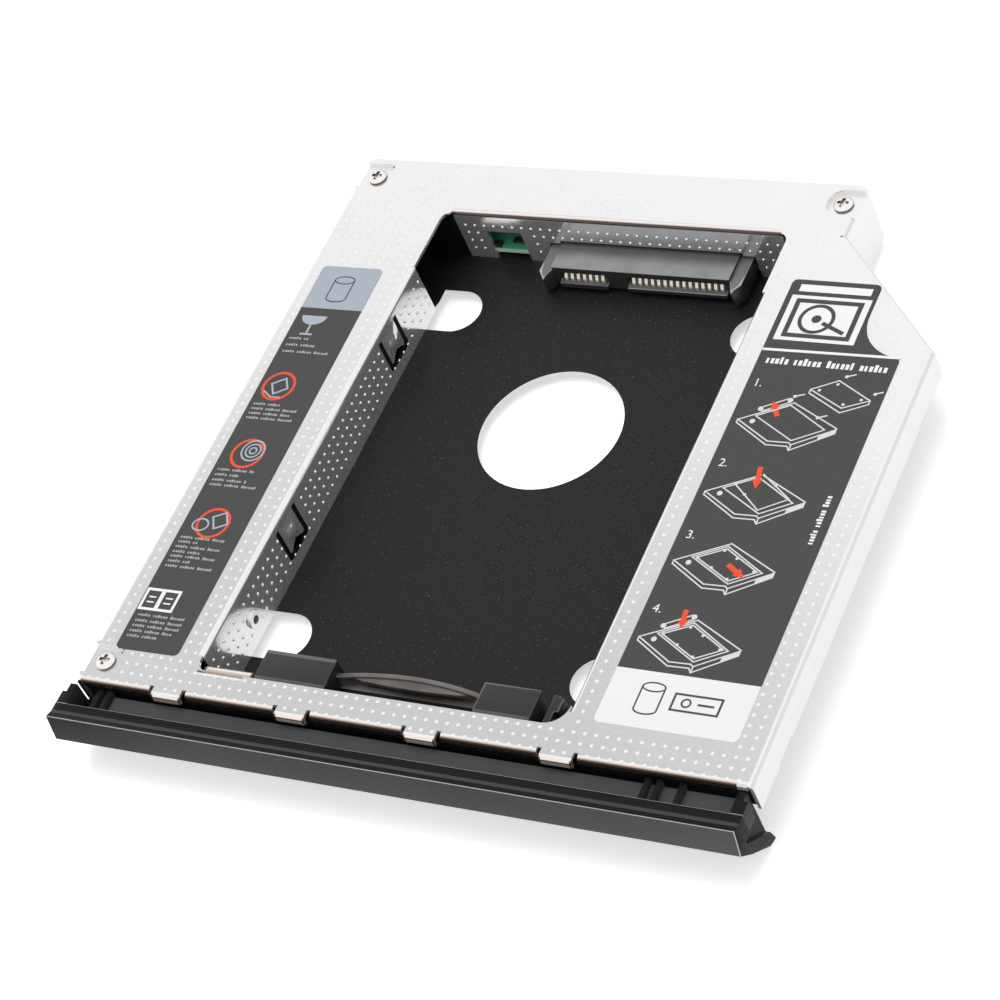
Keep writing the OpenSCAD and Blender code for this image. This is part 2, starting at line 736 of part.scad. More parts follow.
module bottom_pan() placed() color(black_paint) {
    x0 = -side_x + pan_in;
    x1 = deep_x - pan_in;
    front_top = pad_top - shell_t - sheet_gap;
    linear_extrude(pan_t) deep_floor();
    translate([0, 0, wing_floor]) linear_extrude(pan_t) wing_floor_shape();
    translate([x1 - pan_t, pan_in, 0]) cube([pan_t, short_y - pan_in, wing_floor + pan_t]);
    translate([x1 - pan_t, pan_in, 0]) cube([pan_t, body_d - 2 * pan_in, pan_edge_h]);
    translate([x0, pan_in, 0]) cube([pan_t, body_d - 2 * pan_in, pan_edge_h]);
    difference() {
        translate([x0, body_d - pan_in - pan_t, 0]) cube([x1 - x0, pan_t, pan_edge_h]);
        translate([host_mid - host_w / 2 - conn_gap, body_d - pan_in - pan_t - 1, board_top - conn_gap])
            cube([host_w + 2 * conn_gap, far, far]);
    }
    difference() {
        union() {
            translate([x0, pan_in, 0]) cube([x1 - x0, pan_t, front_top]);
            translate([x0, pan_in, wing_floor]) cube([side_x - pan_in - x0, pan_t, front_top - wing_floor]);
        }
        for (x = clip_x) translate([x - clip_w / 2 - clip_room, pan_in - 1, clip_z - clip_room])
            cube([clip_w + 2 * clip_room, pan_t + 2, clip_t + clip_nib + 2 * clip_room]);
    }
    for (x = board_holes) translate([x, board_hole_y, pan_t]) difference() {
        cylinder(d = boss_d, h = boss_h);
        translate([0, 0, -1]) cylinder(d = shank_d + 2 * thread_gap, h = boss_h + 2);
    }
}

// Circuit board and what is fixed to it
module circuit_board() placed() color(green_board) difference() {
    translate([board_x, board_y, board_top - board_t]) cube([board_w, board_d, board_t]);
    for (x = board_holes) translate([x, board_hole_y, 0]) cylinder(d = shank_d + 2 * shank_gap, h = far);
}

module board_capacitors() placed() color([0.3, 0.27, 0.24]) for (p = caps)
    translate([p[0], board_y + p[1], board_top]) chip(p[2]);

module chip(s) {
    ends = s[0] * 0.2;
    translate([0, 0.05, 0.05]) cube([s[0], s[1] - 0.1, s[2] - 0.1]);
    for (x = [0, s[0] - ends]) translate([x, 0, 0]) cube([ends, s[1], s[2]]);
}

module screw(len) {
    translate([0, 0, -len]) cylinder(d = shank_d, h = len);
    difference() {
        rotate_extrude() polygon([[0, 0], [head_d / 2, 0], [head_d / 2, head_h * 0.4],
            [head_d * 0.36, head_h * 0.88], [head_d * 0.2, head_h], [0, head_h]]);
        for (a = [0, 90]) rotate([0, 0, a]) translate([-head_d * 0.3, -cross_w / 2, head_h - cross_h])
            cube([head_d * 0.6, cross_w, far]);
    }
}

module board_screw(i) placed() color(steel)
    translate([board_holes[i], board_hole_y, board_top]) screw(board_shank);
module board_screw_left() board_screw(0);
module board_screw_right() board_screw(1);

module corner_screw(i) placed() color(steel)
    translate([screws[i][0], screws[i][1], pad_top]) screw(shank_len);
module screw_rear_left() corner_screw(0);
module screw_rear_right() corner_screw(1);
module screw_front_left() corner_screw(2);

module post(i) placed() color(steel) translate([screws[i][0], screws[i][1], pan_t]) difference() {
    post_h = pad_top - shell_t - pan_t;
    cylinder(d = post_d, h = post_h);
    translate([0, 0, post_h - shank_len]) cylinder(d = shank_d + 2 * thread_gap, h = shank_len + 1);
}
module post_rear_left() post(0);
module post_rear_right() post(1);
module post_front_left() post(2);

module side_nut() placed() color(steel) translate([bay_l, walls_y + nut_y, nut_z]) rotate([0, -90, 0])
    difference() {
        union() {
            translate([0, 0, -nut_rim]) cylinder(d1 = nut_d + nut_rim, d2 = nut_flange, h = nut_rim);
            cylinder(d = nut_d, h = nut_len);
        }
        translate([0, 0, -1]) cylinder(r = tap_r, h = nut_len + 2);
    }

// Drive connector: housing with two contact slots, a lip under them and pointed guide arms
module guide_arm() {
    tip = bay_rear - conn_out - arm_out;
    arm_h = conn_top - arm_low - conn_low;
    translate([0, 0, conn_low]) difference() {
        linear_extrude(arm_h) polygon([[0, conn_back], [0, tip + arm_w], [arm_w * 0.4, tip],
            [arm_w, tip + arm_w * 0.8], [arm_w, conn_back]]);
        translate([-1, tip, arm_h - arm_bevel]) rotate([arm_slope, 0, 0])
            translate([0, -arm_w, 0]) cube([arm_w + 2, 2 * arm_w, far]);
    }
}

module contact_slot(x, n) translate([x - contact_pitch * 0.85, conn_y - 1, slot_floor])
    cube([(n + 0.7) * contact_pitch, slot_deep + 1, slot_h]);

module drive_connector() placed() color(grey_plastic) {
    difference() {
        union() {
            translate([conn_x - conn_w / 2, conn_y, conn_low])
                cube([conn_w, conn_back - conn_y, conn_top - conn_low]);
            translate([conn_x - conn_w / 2, bay_rear, board_top])
                cube([conn_w, board_y + conn_foot - bay_rear, conn_top - board_top - arm_low]);
        }
        contact_slot(signal_x, signal_n);
        contact_slot(power_x, power_n);
    }
    for (g = [[signal_x, signal_n], [power_x, power_n]])
        translate([g[0] - contact_pitch * 0.85, conn_y - lip_out, conn_low + 0.3])
            cube([(g[1] + 0.7) * contact_pitch, lip_out + 1, slot_sole - 0.3]);
    translate([conn_x + conn_w / 2, 0, 0]) guide_arm();
    translate([conn_x - conn_w / 2, 0, 0]) mirror([1, 0, 0]) guide_arm();
}

module contact_row(x, n) for (i = [0:n - 1])
    translate([x + i * contact_pitch - contact_w / 2, conn_y, slot_floor]) rotate([90, 0, 90])
        linear_extrude(contact_w) polygon([[0.1, 0], [0.1, contact_base], [0.6, contact_rise],
            [1.1, contact_rise], [2, contact_base], [slot_deep - 0.2, contact_base], [slot_deep - 0.2, 0]]);

module drive_signal_contacts() placed() color(gold) contact_row(signal_x, signal_n);
module drive_power_contacts() placed() color(gold) contact_row(power_x, power_n);

// Host connector: a socket in the rear edge with a tongue that carries the contacts
module host_connector() placed() color(grey_plastic) translate([host_mid - host_w / 2, host_y, board_top]) {
    cavity_h = host_h - 2 * host_wall;
    tongue_z = (host_h - host_tongue) / 2;
    difference() {
        cube([host_w, host_d, host_h]);
        translate([host_wall, host_d - host_deep, host_wall])
            cube([host_w - 2 * host_wall, host_deep + 1, cavity_h]);
    }
    for (g = [[host_signal_x, signal_n], [host_power_x, host_power_n]])
        translate([g[0] - (host_mid - host_w / 2) - contact_pitch * 0.8, host_d - host_deep - 0.5, tongue_z])
            cube([(g[1] + 0.6) * contact_pitch, host_deep + 0.2, host_tongue]);
}

module host_row(x, n) for (i = [0:n - 1])
    translate([x + i * contact_pitch - contact_w / 2, host_y + host_d - host_deep,
        board_top + (host_h + host_tongue) / 2]) cube([contact_w, host_deep - 1, host_contact_t]);

module host_signal_contacts() placed() color(gold) host_row(host_signal_x, signal_n);
module host_power_contacts() placed() color(gold) host_row(host_power_x, host_power_n);

// Locking bar: two hollow pads joined by a base strip and a bowed leaf, with a hook post
module bar_pad(x, w) {
    pad_h = body_h - pad_low - bar_low;
    difference() {
        translate([x, bar_front, bar_low]) rotate([90, 0, 90]) linear_extrude(w) polygon([[0, 0],
            [0, pad_h - pad_bevel * 0.6], [pad_bevel, pad_h], [pad_d, pad_h], [pad_d, 0]]);
        translate([x + bar_wall, bar_front + bar_wall, bar_low - 1])
            cube([w - 2 * bar_wall, pad_d - 2 * bar_wall, pad_h - bar_wall + 1]);
    }
}

module leaf_lens(chord, rear, front_bow) {
    rear_r = arc_r(chord, rear);
    front_r = arc_r(chord, front_bow);
    intersection() {
        translate([0, rear - rear_r]) circle(rear_r, $fn = 180);
        translate([0, front_r - front_bow]) circle(front_r, $fn = 180);
    }
}

module leaf(x, chord) {
    rear_r = arc_r(chord, leaf_bow);
    translate([x + chord / 2, leaf_y, 0]) {
        translate([0, 0, body_h - leaf_low - leaf_h]) linear_extrude(leaf_h) intersection() {
            translate([0, leaf_bow - rear_r]) difference() {
                circle(rear_r, $fn = 180);
                circle(rear_r - leaf_t, $fn = 180);
            }
            translate([-chord / 2 - 0.5, -leaf_bow]) square([chord + 1, 2 * leaf_bow + leaf_t]);
        }
        translate([0, 0, body_h - leaf_low - leaf_web - 0.5]) linear_extrude(leaf_web)
            leaf_lens(chord, leaf_bow, leaf_bow / 2);
    }
}

function arc_r(chord, bow) = (chord * chord / 4 + bow * bow) / (2 * bow);

module locking_bar() placed() color(black_plastic) {
    left_x = bay_l + left_pad_in;
    left_end = left_x + left_pad_w;
    right_x = bay_r - right_pad_in - right_pad_w;
    right_end = right_x + right_pad_w;
    post_x = bay_r - bar_gap - post_in;
    bar_pad(left_x, left_pad_w);
    bar_pad(right_x, right_pad_w);
    leaf(left_end, right_x - left_end);
    translate([left_end - bar_wall, leaf_y - bar_wall, bar_low])
        cube([right_x - left_end + 2 * bar_wall, bar_wall, body_h - leaf_low - leaf_h / 2 - bar_low]);
    translate([left_end - bar_wall, bar_front + bar_wall, bar_low])
        cube([right_x - left_end + 2 * bar_wall, leaf_y - bar_front - bar_wall, bar_base]);
    translate([right_end - bar_wall, leaf_y - bar_wall, bar_low])
        cube([post_x - right_end + bar_wall + 0.5, bar_wall, body_h - web_low - bar_low]);
    translate([post_x, bar_front + 0.4, bar_low]) {
        cube([bar_wall, post_len, body_h - post_low - bar_low]);
        translate([0, post_len / 2, body_h - post_low - bar_low - 2 * post_nib])
            cube([bar_wall + post_nib, post_len / 2 - 0.4, 2 * post_nib]);
    }
}

// Bezel: a hollow wedge, open to the rear and the top, with sunk ends, ribs and clips
brow = [[-bezel_y, top_z], [-bezel_y + brow_d, top_z - brow_drop]];
rim_z = top_z - rim_drop;
heel = [-heel_y, low_z + heel_rise];
knee = [-knee_y, heel[1] + knee_y - heel_y];
chin = [-bezel_y - face_lean, top_z - bezel_face];
under_lip = [[lip_back, low_z + 0.3], [lip_back - 0.1, low_z]];
rear_foot = [-clip_gap, low_z + lip_rise];
sunk_front = -bezel_y + bezel_side;

function bezel_outer() = concat(brow, [[-clip_gap, rim_z], rear_foot], under_lip, [heel, knee, chin]);
function bezel_raised() = concat(brow, [[sunk_front, rim_z], [sunk_front, chin[1] + 0.2],
    [chin[0] + 2.1, chin[1] + 0.2], rear_foot], under_lip, [heel, knee, chin]);
function bezel_inner() = [[-bezel_y + rim_d, far], [-bezel_y + rim_d, rim_z - bezel_t],
    [-bezel_y + bezel_t, rim_z - bezel_t], [chin[0] + bezel_t * 1.15, chin[1] + 0.3],
    [knee[0] + bezel_t * 0.5, knee[1] + bezel_t * 1.5], rear_foot, [far, rear_foot[1]], [far, far]];
function rib_profile() = [[-bezel_y + 1, top_z - rib_low], [-clip_gap - 0.2, top_z - rib_low],
    [-clip_gap - 0.2, rear_foot[1]], [chin[0] + 1, chin[1]]];

module along(x0, x1, points)
    translate([x0, 0, 0]) rotate([90, 0, 90]) linear_extrude(x1 - x0) polygon(points);

module bezel() placed() color(black_plastic) {
    x0 = -side_x - bezel_left;
    x1 = x0 + bezel_w;
    in0 = x0 + end_sunk + bezel_t;
    in1 = x1 - end_sunk - bezel_t;
    difference() {
        union() {
            along(x0 + end_sunk, x1 - end_sunk, bezel_outer());
            along(x0, x0 + end_sunk + 0.1, bezel_raised());
            along(x1 - end_sunk - 0.1, x1, bezel_raised());
        }
        along(in0, in1, bezel_inner());
    }
    translate([in0 - 0.1, -2 * clip_gap - web_t, rear_foot[1] - 0.3])
        cube([in1 - in0 + 0.2, web_t, trough_h - rear_foot[1] + 0.3]);
    for (x = [in0 + rib_left, in0 + rib_left + rib_pair, in1 - rib_right, in1 - rib_right - rib_gap,
        in1 - rib_right - rib_gap - rib_pair]) along(x - rib_t / 2, x + rib_t / 2, rib_profile());
    clip_top = clip_z + clip_t;
    clip_front = chin[0] + bezel_t * 2.5;
    for (x = clip_x) along(x - clip_w / 2, x + clip_w / 2, [[clip_front, clip_z],
        [clip_root + clip_tip, clip_z], [clip_root + clip_tip, clip_top],
        [clip_root + clip_tip / 4, clip_top + clip_nib],
        [clip_root, clip_top + clip_nib], [clip_root, clip_top], [clip_front, clip_top]]);
}

// Printed labels
module round_rect(w, d, r) {
    translate([r, 0]) square([w - 2 * r, d]);
    translate([0, r]) square([w, d - 2 * r]);
    for (x = [r, w - r]) for (y = [r, d - r]) translate([x, y]) circle(r);
}

module left_label() placed() color([0.28, 0.28, 0.28])
    translate([-side_x + left_label_in + left_label_w / 2, left_label_y + left_label_len / 2, body_h])
        rotate([0, 0, left_label_turn]) translate([-left_label_w / 2, -left_label_len / 2, 0])
            linear_extrude(label_t) round_rect(left_label_w, left_label_len, label_r);

module right_label() placed() color([0.24, 0.24, 0.24])
    translate([bay_r + right_label_in, right_label_y, body_h]) linear_extrude(label_t) {
        head_w = right_label_w - label_curve;
        round_rect(right_label_w, right_label_len, label_r);
        translate([0, right_label_len - 2 * label_r])
            round_rect(head_w, head_label_len + 2 * label_r, label_r);
        translate([head_w, right_label_len]) difference() {
            translate([-label_r, -2 * label_r])
                square([label_curve + label_r - curve_cut, label_curve - curve_cut + 2 * label_r]);
            translate([label_curve, label_curve]) circle(label_curve, $fn = 96);
            translate([label_curve - curve_cut - label_r, -2 * label_r]) square(label_r);
        }
    }

top_shell();
bottom_pan();
bezel();
locking_bar();
circuit_board();
board_capacitors();
board_screw_left();
board_screw_right();
drive_connector();
drive_signal_contacts();
drive_power_contacts();
host_connector();
host_signal_contacts();
host_power_contacts();
screw_rear_left();
screw_rear_right();
screw_front_left();
post_rear_left();
post_rear_right();
post_front_left();
side_nut();
left_label();
right_label();
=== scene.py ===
import math
import bmesh
import bpy
from mathutils import Matrix, Vector


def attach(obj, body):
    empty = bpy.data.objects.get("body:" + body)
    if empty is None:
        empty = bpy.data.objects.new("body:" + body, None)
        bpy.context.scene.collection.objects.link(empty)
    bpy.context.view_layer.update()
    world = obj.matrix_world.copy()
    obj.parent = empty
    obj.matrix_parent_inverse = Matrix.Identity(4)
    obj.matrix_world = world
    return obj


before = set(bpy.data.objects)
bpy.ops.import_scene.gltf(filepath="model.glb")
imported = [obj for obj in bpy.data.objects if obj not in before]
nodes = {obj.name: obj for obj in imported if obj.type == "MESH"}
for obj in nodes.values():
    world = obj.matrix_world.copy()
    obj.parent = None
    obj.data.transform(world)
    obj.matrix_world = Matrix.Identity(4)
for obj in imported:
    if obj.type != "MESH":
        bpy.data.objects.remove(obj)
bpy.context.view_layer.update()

# Camera. The photograph was taken with a long lens from the front right, a little under
# 45 degrees above the caddy, with the caddy's long sides running up to the left.
camera_data = bpy.data.cameras.new("camera")
camera_data.sensor_width = 36
camera_data.lens = 113.207
camera_data.clip_start = 0.01
camera = bpy.data.objects.new("camera", camera_data)
bpy.context.scene.collection.objects.link(camera)
camera_place = Matrix.Translation((0.261381, -0.284852, 0.387839))
view_right = Vector((0.86515307, 0.38162728, -0.32537791))
view_down = Vector((0.10005967, -0.76710633, -0.63366863))
view_ahead = Vector((-0.4914247, 0.51566315, -0.7018499))
camera_turn = Matrix((view_right, -view_down, -view_ahead)).transposed().to_4x4()
camera.matrix_world = camera_place @ camera_turn
bpy.context.scene.camera = camera
bpy.context.scene.view_settings.view_transform = "Standard"


# Studio. A white table top in a pale room, under a wide softbox that hangs behind and above the
# caddy. Bright sheet metal mirrors the room, and fades to grey where it mirrors the dim gap
# beside the softbox.
class Val:
    """One value in a shader, which takes plain arithmetic."""

    def __init__(self, shader, out):
        self.shader = shader
        self.out = out

    def math(self, kind, *others):
        node = self.shader.node("ShaderNodeMath", enumerate((self, *others)), operation=kind)
        return Val(self.shader, node.outputs[0])

    def __add__(self, other):
        return self.math("ADD", other)

    def __sub__(self, other):
        return self.math("SUBTRACT", other)

    def __mul__(self, other):
        return self.math("MULTIPLY", other)

    def __rsub__(self, other):
        return self * -1 + other

    def __gt__(self, other):
        return self.math("GREATER_THAN", other)

    def __lt__(self, other):
        return self.math("LESS_THAN", other)

    def __abs__(self):
        return self.math("ABSOLUTE")

    __radd__ = __add__
    __rmul__ = __mul__

    def capped(self):
        """A sum of masks, held at 1 where they overlap."""
        return self.math("MINIMUM", 1)

    def ramp(self, low, high, to_low=0, to_high=1):
        """Passes softly from to_low to to_high while the value goes from low to high."""
        node = self.shader.node("ShaderNodeMapRange", {
            "Value": self, "From Min": low, "From Max": high, "To Min": to_low, "To Max": to_high},
            interpolation_type="SMOOTHSTEP")
        return Val(self.shader, node.outputs[0])

    def blend(self, low, high):
        """The colour low where the value is 0 and high where it is 1."""
        low, high = [(*tint, 1) if isinstance(tint, tuple) else tint for tint in (low, high)]
        node = self.shader.node("ShaderNodeMix", {"Factor": self, 6: low, 7: high}, data_type="RGBA")
        return Val(self.shader, node.outputs[2])


class Shader:
    """The nodes of one material, or of the world."""

    def __init__(self, owner):
        owner.use_nodes = True
        self.owner = owner
        self.tree = owner.node_tree
        self.tree.nodes.clear()

    def node(self, kind, values=(), **settings):
        node = self.tree.nodes.new(kind)
        for key, value in settings.items():
            setattr(node, key, value)
        for key, value in dict(values).items():
            if isinstance(value, Val):
                self.tree.links.new(value.out, node.inputs[key])
            else:
                node.inputs[key].default_value = value
        return node

    def coord(self, name="Object"):
        return Val(self, self.node("ShaderNodeTexCoord").outputs[name])

    def axes(self, vector):
        node = self.node("ShaderNodeSeparateXYZ", {0: vector})
        return [Val(self, out) for out in node.outputs]

    def place(self):
        """The point's place in the part's frame, in mm."""
        return [value * 1000 for value in self.axes(self.coord())]

    def facing(self):
        """The way that the surface faces."""
        return self.axes(self.coord("Normal"))

    def noise(self, scale, detail=2, squash=(1, 1, 1)):
        place = self.node("ShaderNodeVectorMath", {0: self.coord(), 1: squash}, operation="MULTIPLY")
        node = self.node("ShaderNodeTexNoise", {
            "Vector": Val(self, place.outputs[0]), "Scale": scale, "Detail": detail})
        return Val(self, node.outputs[0])

    def surface(self, bump=None, bump_mm=0.02, **values):
        """Finishes the material as one glossy surface; bump is a height from 0 to 1."""
        inputs = {key.replace("_", " "): value for key, value in values.items()}
        if bump is not None:
            node = self.node("ShaderNodeBump", {"Height": bump, "Distance": bump_mm / 1000})
            inputs["Normal"] = Val(self, node.outputs[0])
        node = self.node("ShaderNodeBsdfPrincipled", inputs)
        self.node("ShaderNodeOutputMaterial", {0: Val(self, node.outputs[0])})
        return self.owner


world = bpy.data.worlds.new("studio")
bpy.context.scene.world = world
sky = Shader(world)
east, north, up = sky.axes(sky.coord("Generated"))
room_white, room_dim, room_soft = 1.24, 0.68, 0.75
toward_gap = east * -0.50 + north * 0.40 + up * 0.768
mirrored_room = toward_gap.ramp(0.974, 0.998, room_white, room_dim)
rays = sky.node("ShaderNodeLightPath")
seen = Val(sky, rays.outputs["Is Camera Ray"])
white = seen.math("MAXIMUM", Val(sky, rays.outputs["Is Transmission Ray"]))
mirrored = Val(sky, rays.outputs["Is Glossy Ray"])
level = white + (1 - white) * (mirrored * mirrored_room + (1 - mirrored) * room_soft)
light = sky.node("ShaderNodeBackground", {"Strength": level})
sky.node("ShaderNodeOutputWorld", {0: Val(sky, light.outputs[0])})

lamp_data = bpy.data.lights.new("softbox", "AREA")
lamp_data.shape = "RECTANGLE"
lamp_data.size = lamp_data.size_y = 0.9
lamp_data.energy = 6
lamp = bpy.data.objects.new("softbox", lamp_data)
lamp.location = (-0.18, 0.2, 1.05)
lamp.rotation_euler = (-lamp.location).to_track_quat("-Z", "Y").to_euler()
lamp.visible_glossy = False
bpy.context.scene.collection.objects.link(lamp)

bm = bmesh.new()
bmesh.ops.create_grid(bm, x_segments=1, y_segments=1, size=1.5)
floor_mesh = bpy.data.meshes.new("floor")
bm.to_mesh(floor_mesh)
bm.free()
table = bpy.data.objects.new("floor", floor_mesh)
bpy.context.scene.collection.objects.link(table)
paper = Shader(bpy.data.materials.new("table top"))
seen = Val(paper, paper.node("ShaderNodeLightPath").outputs["Is Camera Ray"])
paper_lit, paper_seen = [(tone, tone, tone) for tone in (0.3, 0.9)]
glow_lit, glow_seen = [(tone, tone, tone) for tone in (0.76, 0.56)]
table.data.materials.append(paper.surface(
    Base_Color=seen.blend(paper_lit, paper_seen),
    Roughness=paper.noise(40).ramp(0, 1, 0.8, 0.95), Specular_IOR_Level=0.0,
    Emission_Strength=1, Emission_Color=seen.blend(glow_lit, glow_seen)))


# Shell. The body is folded from one sheet of bright aluminium that is embossed all over with
# small round dimples in straight rows, except under the labels; plate and bay walls share the
# rows. Its cut edges are warmer in tone, and three screws hold it to the pan.
SHELL_OFFSET = (1.2, -58.65, 1.7)
PLATE_TOP = 12.7
BAY_LEFT, BAY_RIGHT, BAY_FRONT, BAY_REAR = -41.9, 28.7, 5.7, 112.9
HOOKS = [-45.1 + 25 * i for i in range(4)]


def dress(material, *names):
    for name in names:
        nodes[name].material_slots[0].material = material


def at(x, y, z):
    """A place measured in mm from the metal body's corner lines, in the part's frame in metres."""
    return Vector([value + offset for value, offset in zip((x, y, z), SHELL_OFFSET)]) / 1000


def piece(name, bm, material, body="caddy", smooth=False):
    """Makes the mesh a piece of the caddy, with its finish."""
    for face in bm.faces:
        face.smooth = smooth
    mesh = bpy.data.meshes.new(name)
    bm.to_mesh(mesh)
    bm.free()
    mesh.materials.append(material)
    obj = bpy.data.objects.new(name, mesh)
    bpy.context.scene.collection.objects.link(obj)
    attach(obj, body)
    return obj


sheet = Shader(bpy.data.materials.new("bright sheet"))
grain = sheet.noise(1400, 3)
clouds = sheet.noise(55, 2)
x, y, z = sheet.place()
nx, ny, nz = sheet.facing()

# The plate, with painted shade on its outer folds, picked by the way they face.
outside_bay = 1 - (abs(x + 5.4) < 38) * (abs(y - 0.8) < 56)
fold = outside_bay * (nz > 0.35) * (nz < 0.85) * (z > 12)
metal = fold.blend(clouds.blend((0.87, 0.87, 0.88), (0.93, 0.93, 0.935)), (0.76, 0.76, 0.77))

# The cut front edge, with painted light and shade: a pink lip with a painted highlight along its top
# over dark painted shade, and on each hook a pale painted highlight crossed by a dark painted band.
front_edge = (ny < -0.35) * (y < -57.6) * (x < 62.4)
on_hook = sum(abs(x - (middle + SHELL_OFFSET[0])) < 2.6 for middle in HOOKS)
hook_light_and_shade = abs(z - 13.75).ramp(0, 0.2).blend((0.35, 0.22, 0.16), (0.97, 0.86, 0.78))
lip = on_hook.blend(z.ramp(14.05, 14.36).blend((0.06, 0.035, 0.028), (0.97, 0.8, 0.7)), hook_light_and_shade)

# The turned-in shelf beside the locking bar, with painted light and shade: dark at its front, tan where
# it is in the bar's shade, and a pale painted highlight along its rear.
on_shelf = (x < -30.6) * (x > -40.6) * (y > -53.9) * (y < -50.2) * (z < 13.4) * (z > 3)
shelf_shade = y.ramp(-53.5, -52.6).blend((0.07, 0.045, 0.035), (0.62, 0.45, 0.34))
shelf = y.ramp(-52.3, -51.5).blend(shelf_shade, (0.98, 0.9, 0.82))

# The cut edge over the bay's rear wall, with a painted highlight along its top over dark painted shade.
rear_edge = (ny < -0.35) * (y > 53.5) * (y < 55.3) * (z > 13.6)
edge = z.ramp(14.08, 14.28).blend((0.1, 0.085, 0.08), (0.97, 0.85, 0.78))
colour = rear_edge.blend(on_shelf.blend(front_edge.blend(metal, lip), shelf), edge)
bright_sheet = sheet.surface(Base_Color=colour, Metallic=0.76,
    Roughness=grain.ramp(0.3, 0.7, 0.1, 0.16), bump=grain, bump_mm=0.004)
dress(bright_sheet, "top_shell")


def soften(name, width=0, angle=30):
    """Shades the bends of a CAD solid smoothly, and rounds its sharp edges by width in mm."""
    obj = nodes[name]
    weld = obj.modifiers.new("weld", "WELD")
    weld.merge_threshold = 1e-6
    if width:
        bevel = obj.modifiers.new("round", "BEVEL")
        bevel.width = width / 1000
        bevel.segments = 2
        bevel.limit_method = "ANGLE"
        bevel.angle_limit = math.radians(angle)
    obj.modifiers.new("smooth", "NODES").node_group = smooth_bends


smooth_bends = bpy.data.node_groups.new("smooth bends", "GeometryNodeTree")
for way in ("INPUT", "OUTPUT"):
    smooth_bends.interface.new_socket("Geometry", in_out=way, socket_type="NodeSocketGeometry")
source, turn_angle, sharp, edges_flat, faces_smooth, result = [
    smooth_bends.nodes.new(kind) for kind in (
        "NodeGroupInput", "GeometryNodeInputMeshEdgeAngle", "ShaderNodeMath",
        "GeometryNodeSetShadeSmooth", "GeometryNodeSetShadeSmooth", "NodeGroupOutput")]
sharp.operation = "GREATER_THAN"
sharp.inputs[1].default_value = math.radians(35)
edges_flat.domain = "EDGE"
edges_flat.inputs["Shade Smooth"].default_value = False
for start, end in (
        (source.outputs[0], faces_smooth.inputs["Geometry"]),
        (turn_angle.outputs[0], sharp.inputs[0]),
        (faces_smooth.outputs[0], edges_flat.inputs["Geometry"]),
        (sharp.outputs[0], edges_flat.inputs["Selection"]),
        (edges_flat.outputs[0], result.inputs[0])):
    smooth_bends.links.new(start, end)
soften("top_shell")

PITCH_X, PITCH_Y = 2.02, 2.005
PLATE_LEFT, PLATE_RIGHT, PLATE_REAR = -63, 62.9, 125
SLANTED_CORNER = 151.6
SCREW_PADS = ((-60.6, 121.1), (36, 121.1), (-60.6, 4.9))
PAD_R = 3.9
TONGUES = (40.1, 84.7)
SIDE_NUT = (22.2, 5.2)


def on_plate(x, y):
    """True where the flat plate shows bare metal with room for a dimple."""
    if BAY_LEFT - 1.2 < x < BAY_RIGHT + 1.2 and BAY_FRONT - 0.5 < y < BAY_REAR + 1.2:
        return False
    if not PLATE_LEFT <= x <= PLATE_RIGHT or y > PLATE_REAR or x + y > SLANTED_CORNER:
        return False
    beside_pad = x > 38.2 and y > 113
    left_label = -60.8 < x < -46.8 and 7 < y < 98
    right_label = 33 < x < 59.2 and 6.9 < y < 87 or 33 < x < 50.6 and 86 < y < 103
    scooped = 50 < x < 59.2 and 86 < y < 95.2 and math.hypot(x - 58.7, y - 95.2) > 8.1
    if beside_pad or left_label or right_label or scooped:
        return False
    for pad_x, pad_y in SCREW_PADS:
        in_pad = math.hypot(x - pad_x, y - pad_y) < PAD_R
        if abs(y - pad_y) < PAD_R and (in_pad or (x - pad_x) * pad_x > 0):
            return False
    return not any(y < 1.9 and 2.4 < abs(x - middle) < 4.4 for middle in HOOKS)


def on_left_wall(y, z):
    """True where the bay's left wall is clear of its tongues and of the nut."""
    clear = z < 3.5 or min(abs(y - middle) for middle in TONGUES) > 4
    return clear and 9.3 < y < 98.2 and math.hypot(y - SIDE_NUT[0], z - SIDE_NUT[1]) > 2.4


def on_rear_wall(x, z):
    """True where the bay's rear wall is clear of its notch and of the connector's opening."""
    in_notch = -36 < x < -26 and z < 8.4
    in_opening = -22.6 < x < 20.9 and z < 7.1
    return -39.6 < x < 26.4 and not in_notch and not in_opening


def domes(name, places, turn, height=1):
    """One low dome at each place; turn lays their tops from +Z to the wall's own way."""
    dome = bmesh.new()
    radius_and_rise = [(0.36, -0.04), (0.32, 0.02), (0.2, 0.08), (0.08, 0.1), (0, 0.102)]
    profile = [dome.verts.new((r / 1000, 0, rise / 1000)) for r, rise in radius_and_rise]
    edges = [dome.edges.new(pair) for pair in zip(profile, profile[1:])]
    bmesh.ops.spin(dome, geom=profile + edges, axis=(0, 0, 1), cent=(0, 0, 0), angle=math.tau,
        steps=9, use_merge=True)
    bmesh.ops.remove_doubles(dome, verts=dome.verts, dist=1e-6)
    bmesh.ops.recalc_face_normals(dome, faces=dome.faces)
    bmesh.ops.transform(dome, matrix=turn @ Matrix.Diagonal((1, 1, height, 1)), verts=dome.verts)
    template = bpy.data.meshes.new(name)
    dome.to_mesh(template)
    dome.free()
    bm = bmesh.new()
    for place in places:
        start = len(bm.verts)
        bm.from_mesh(template)
        bm.verts.ensure_lookup_table()
        bmesh.ops.translate(bm, vec=place, verts=bm.verts[start:])
    return piece(name, bm, painted_highlight_metal, smooth=True)
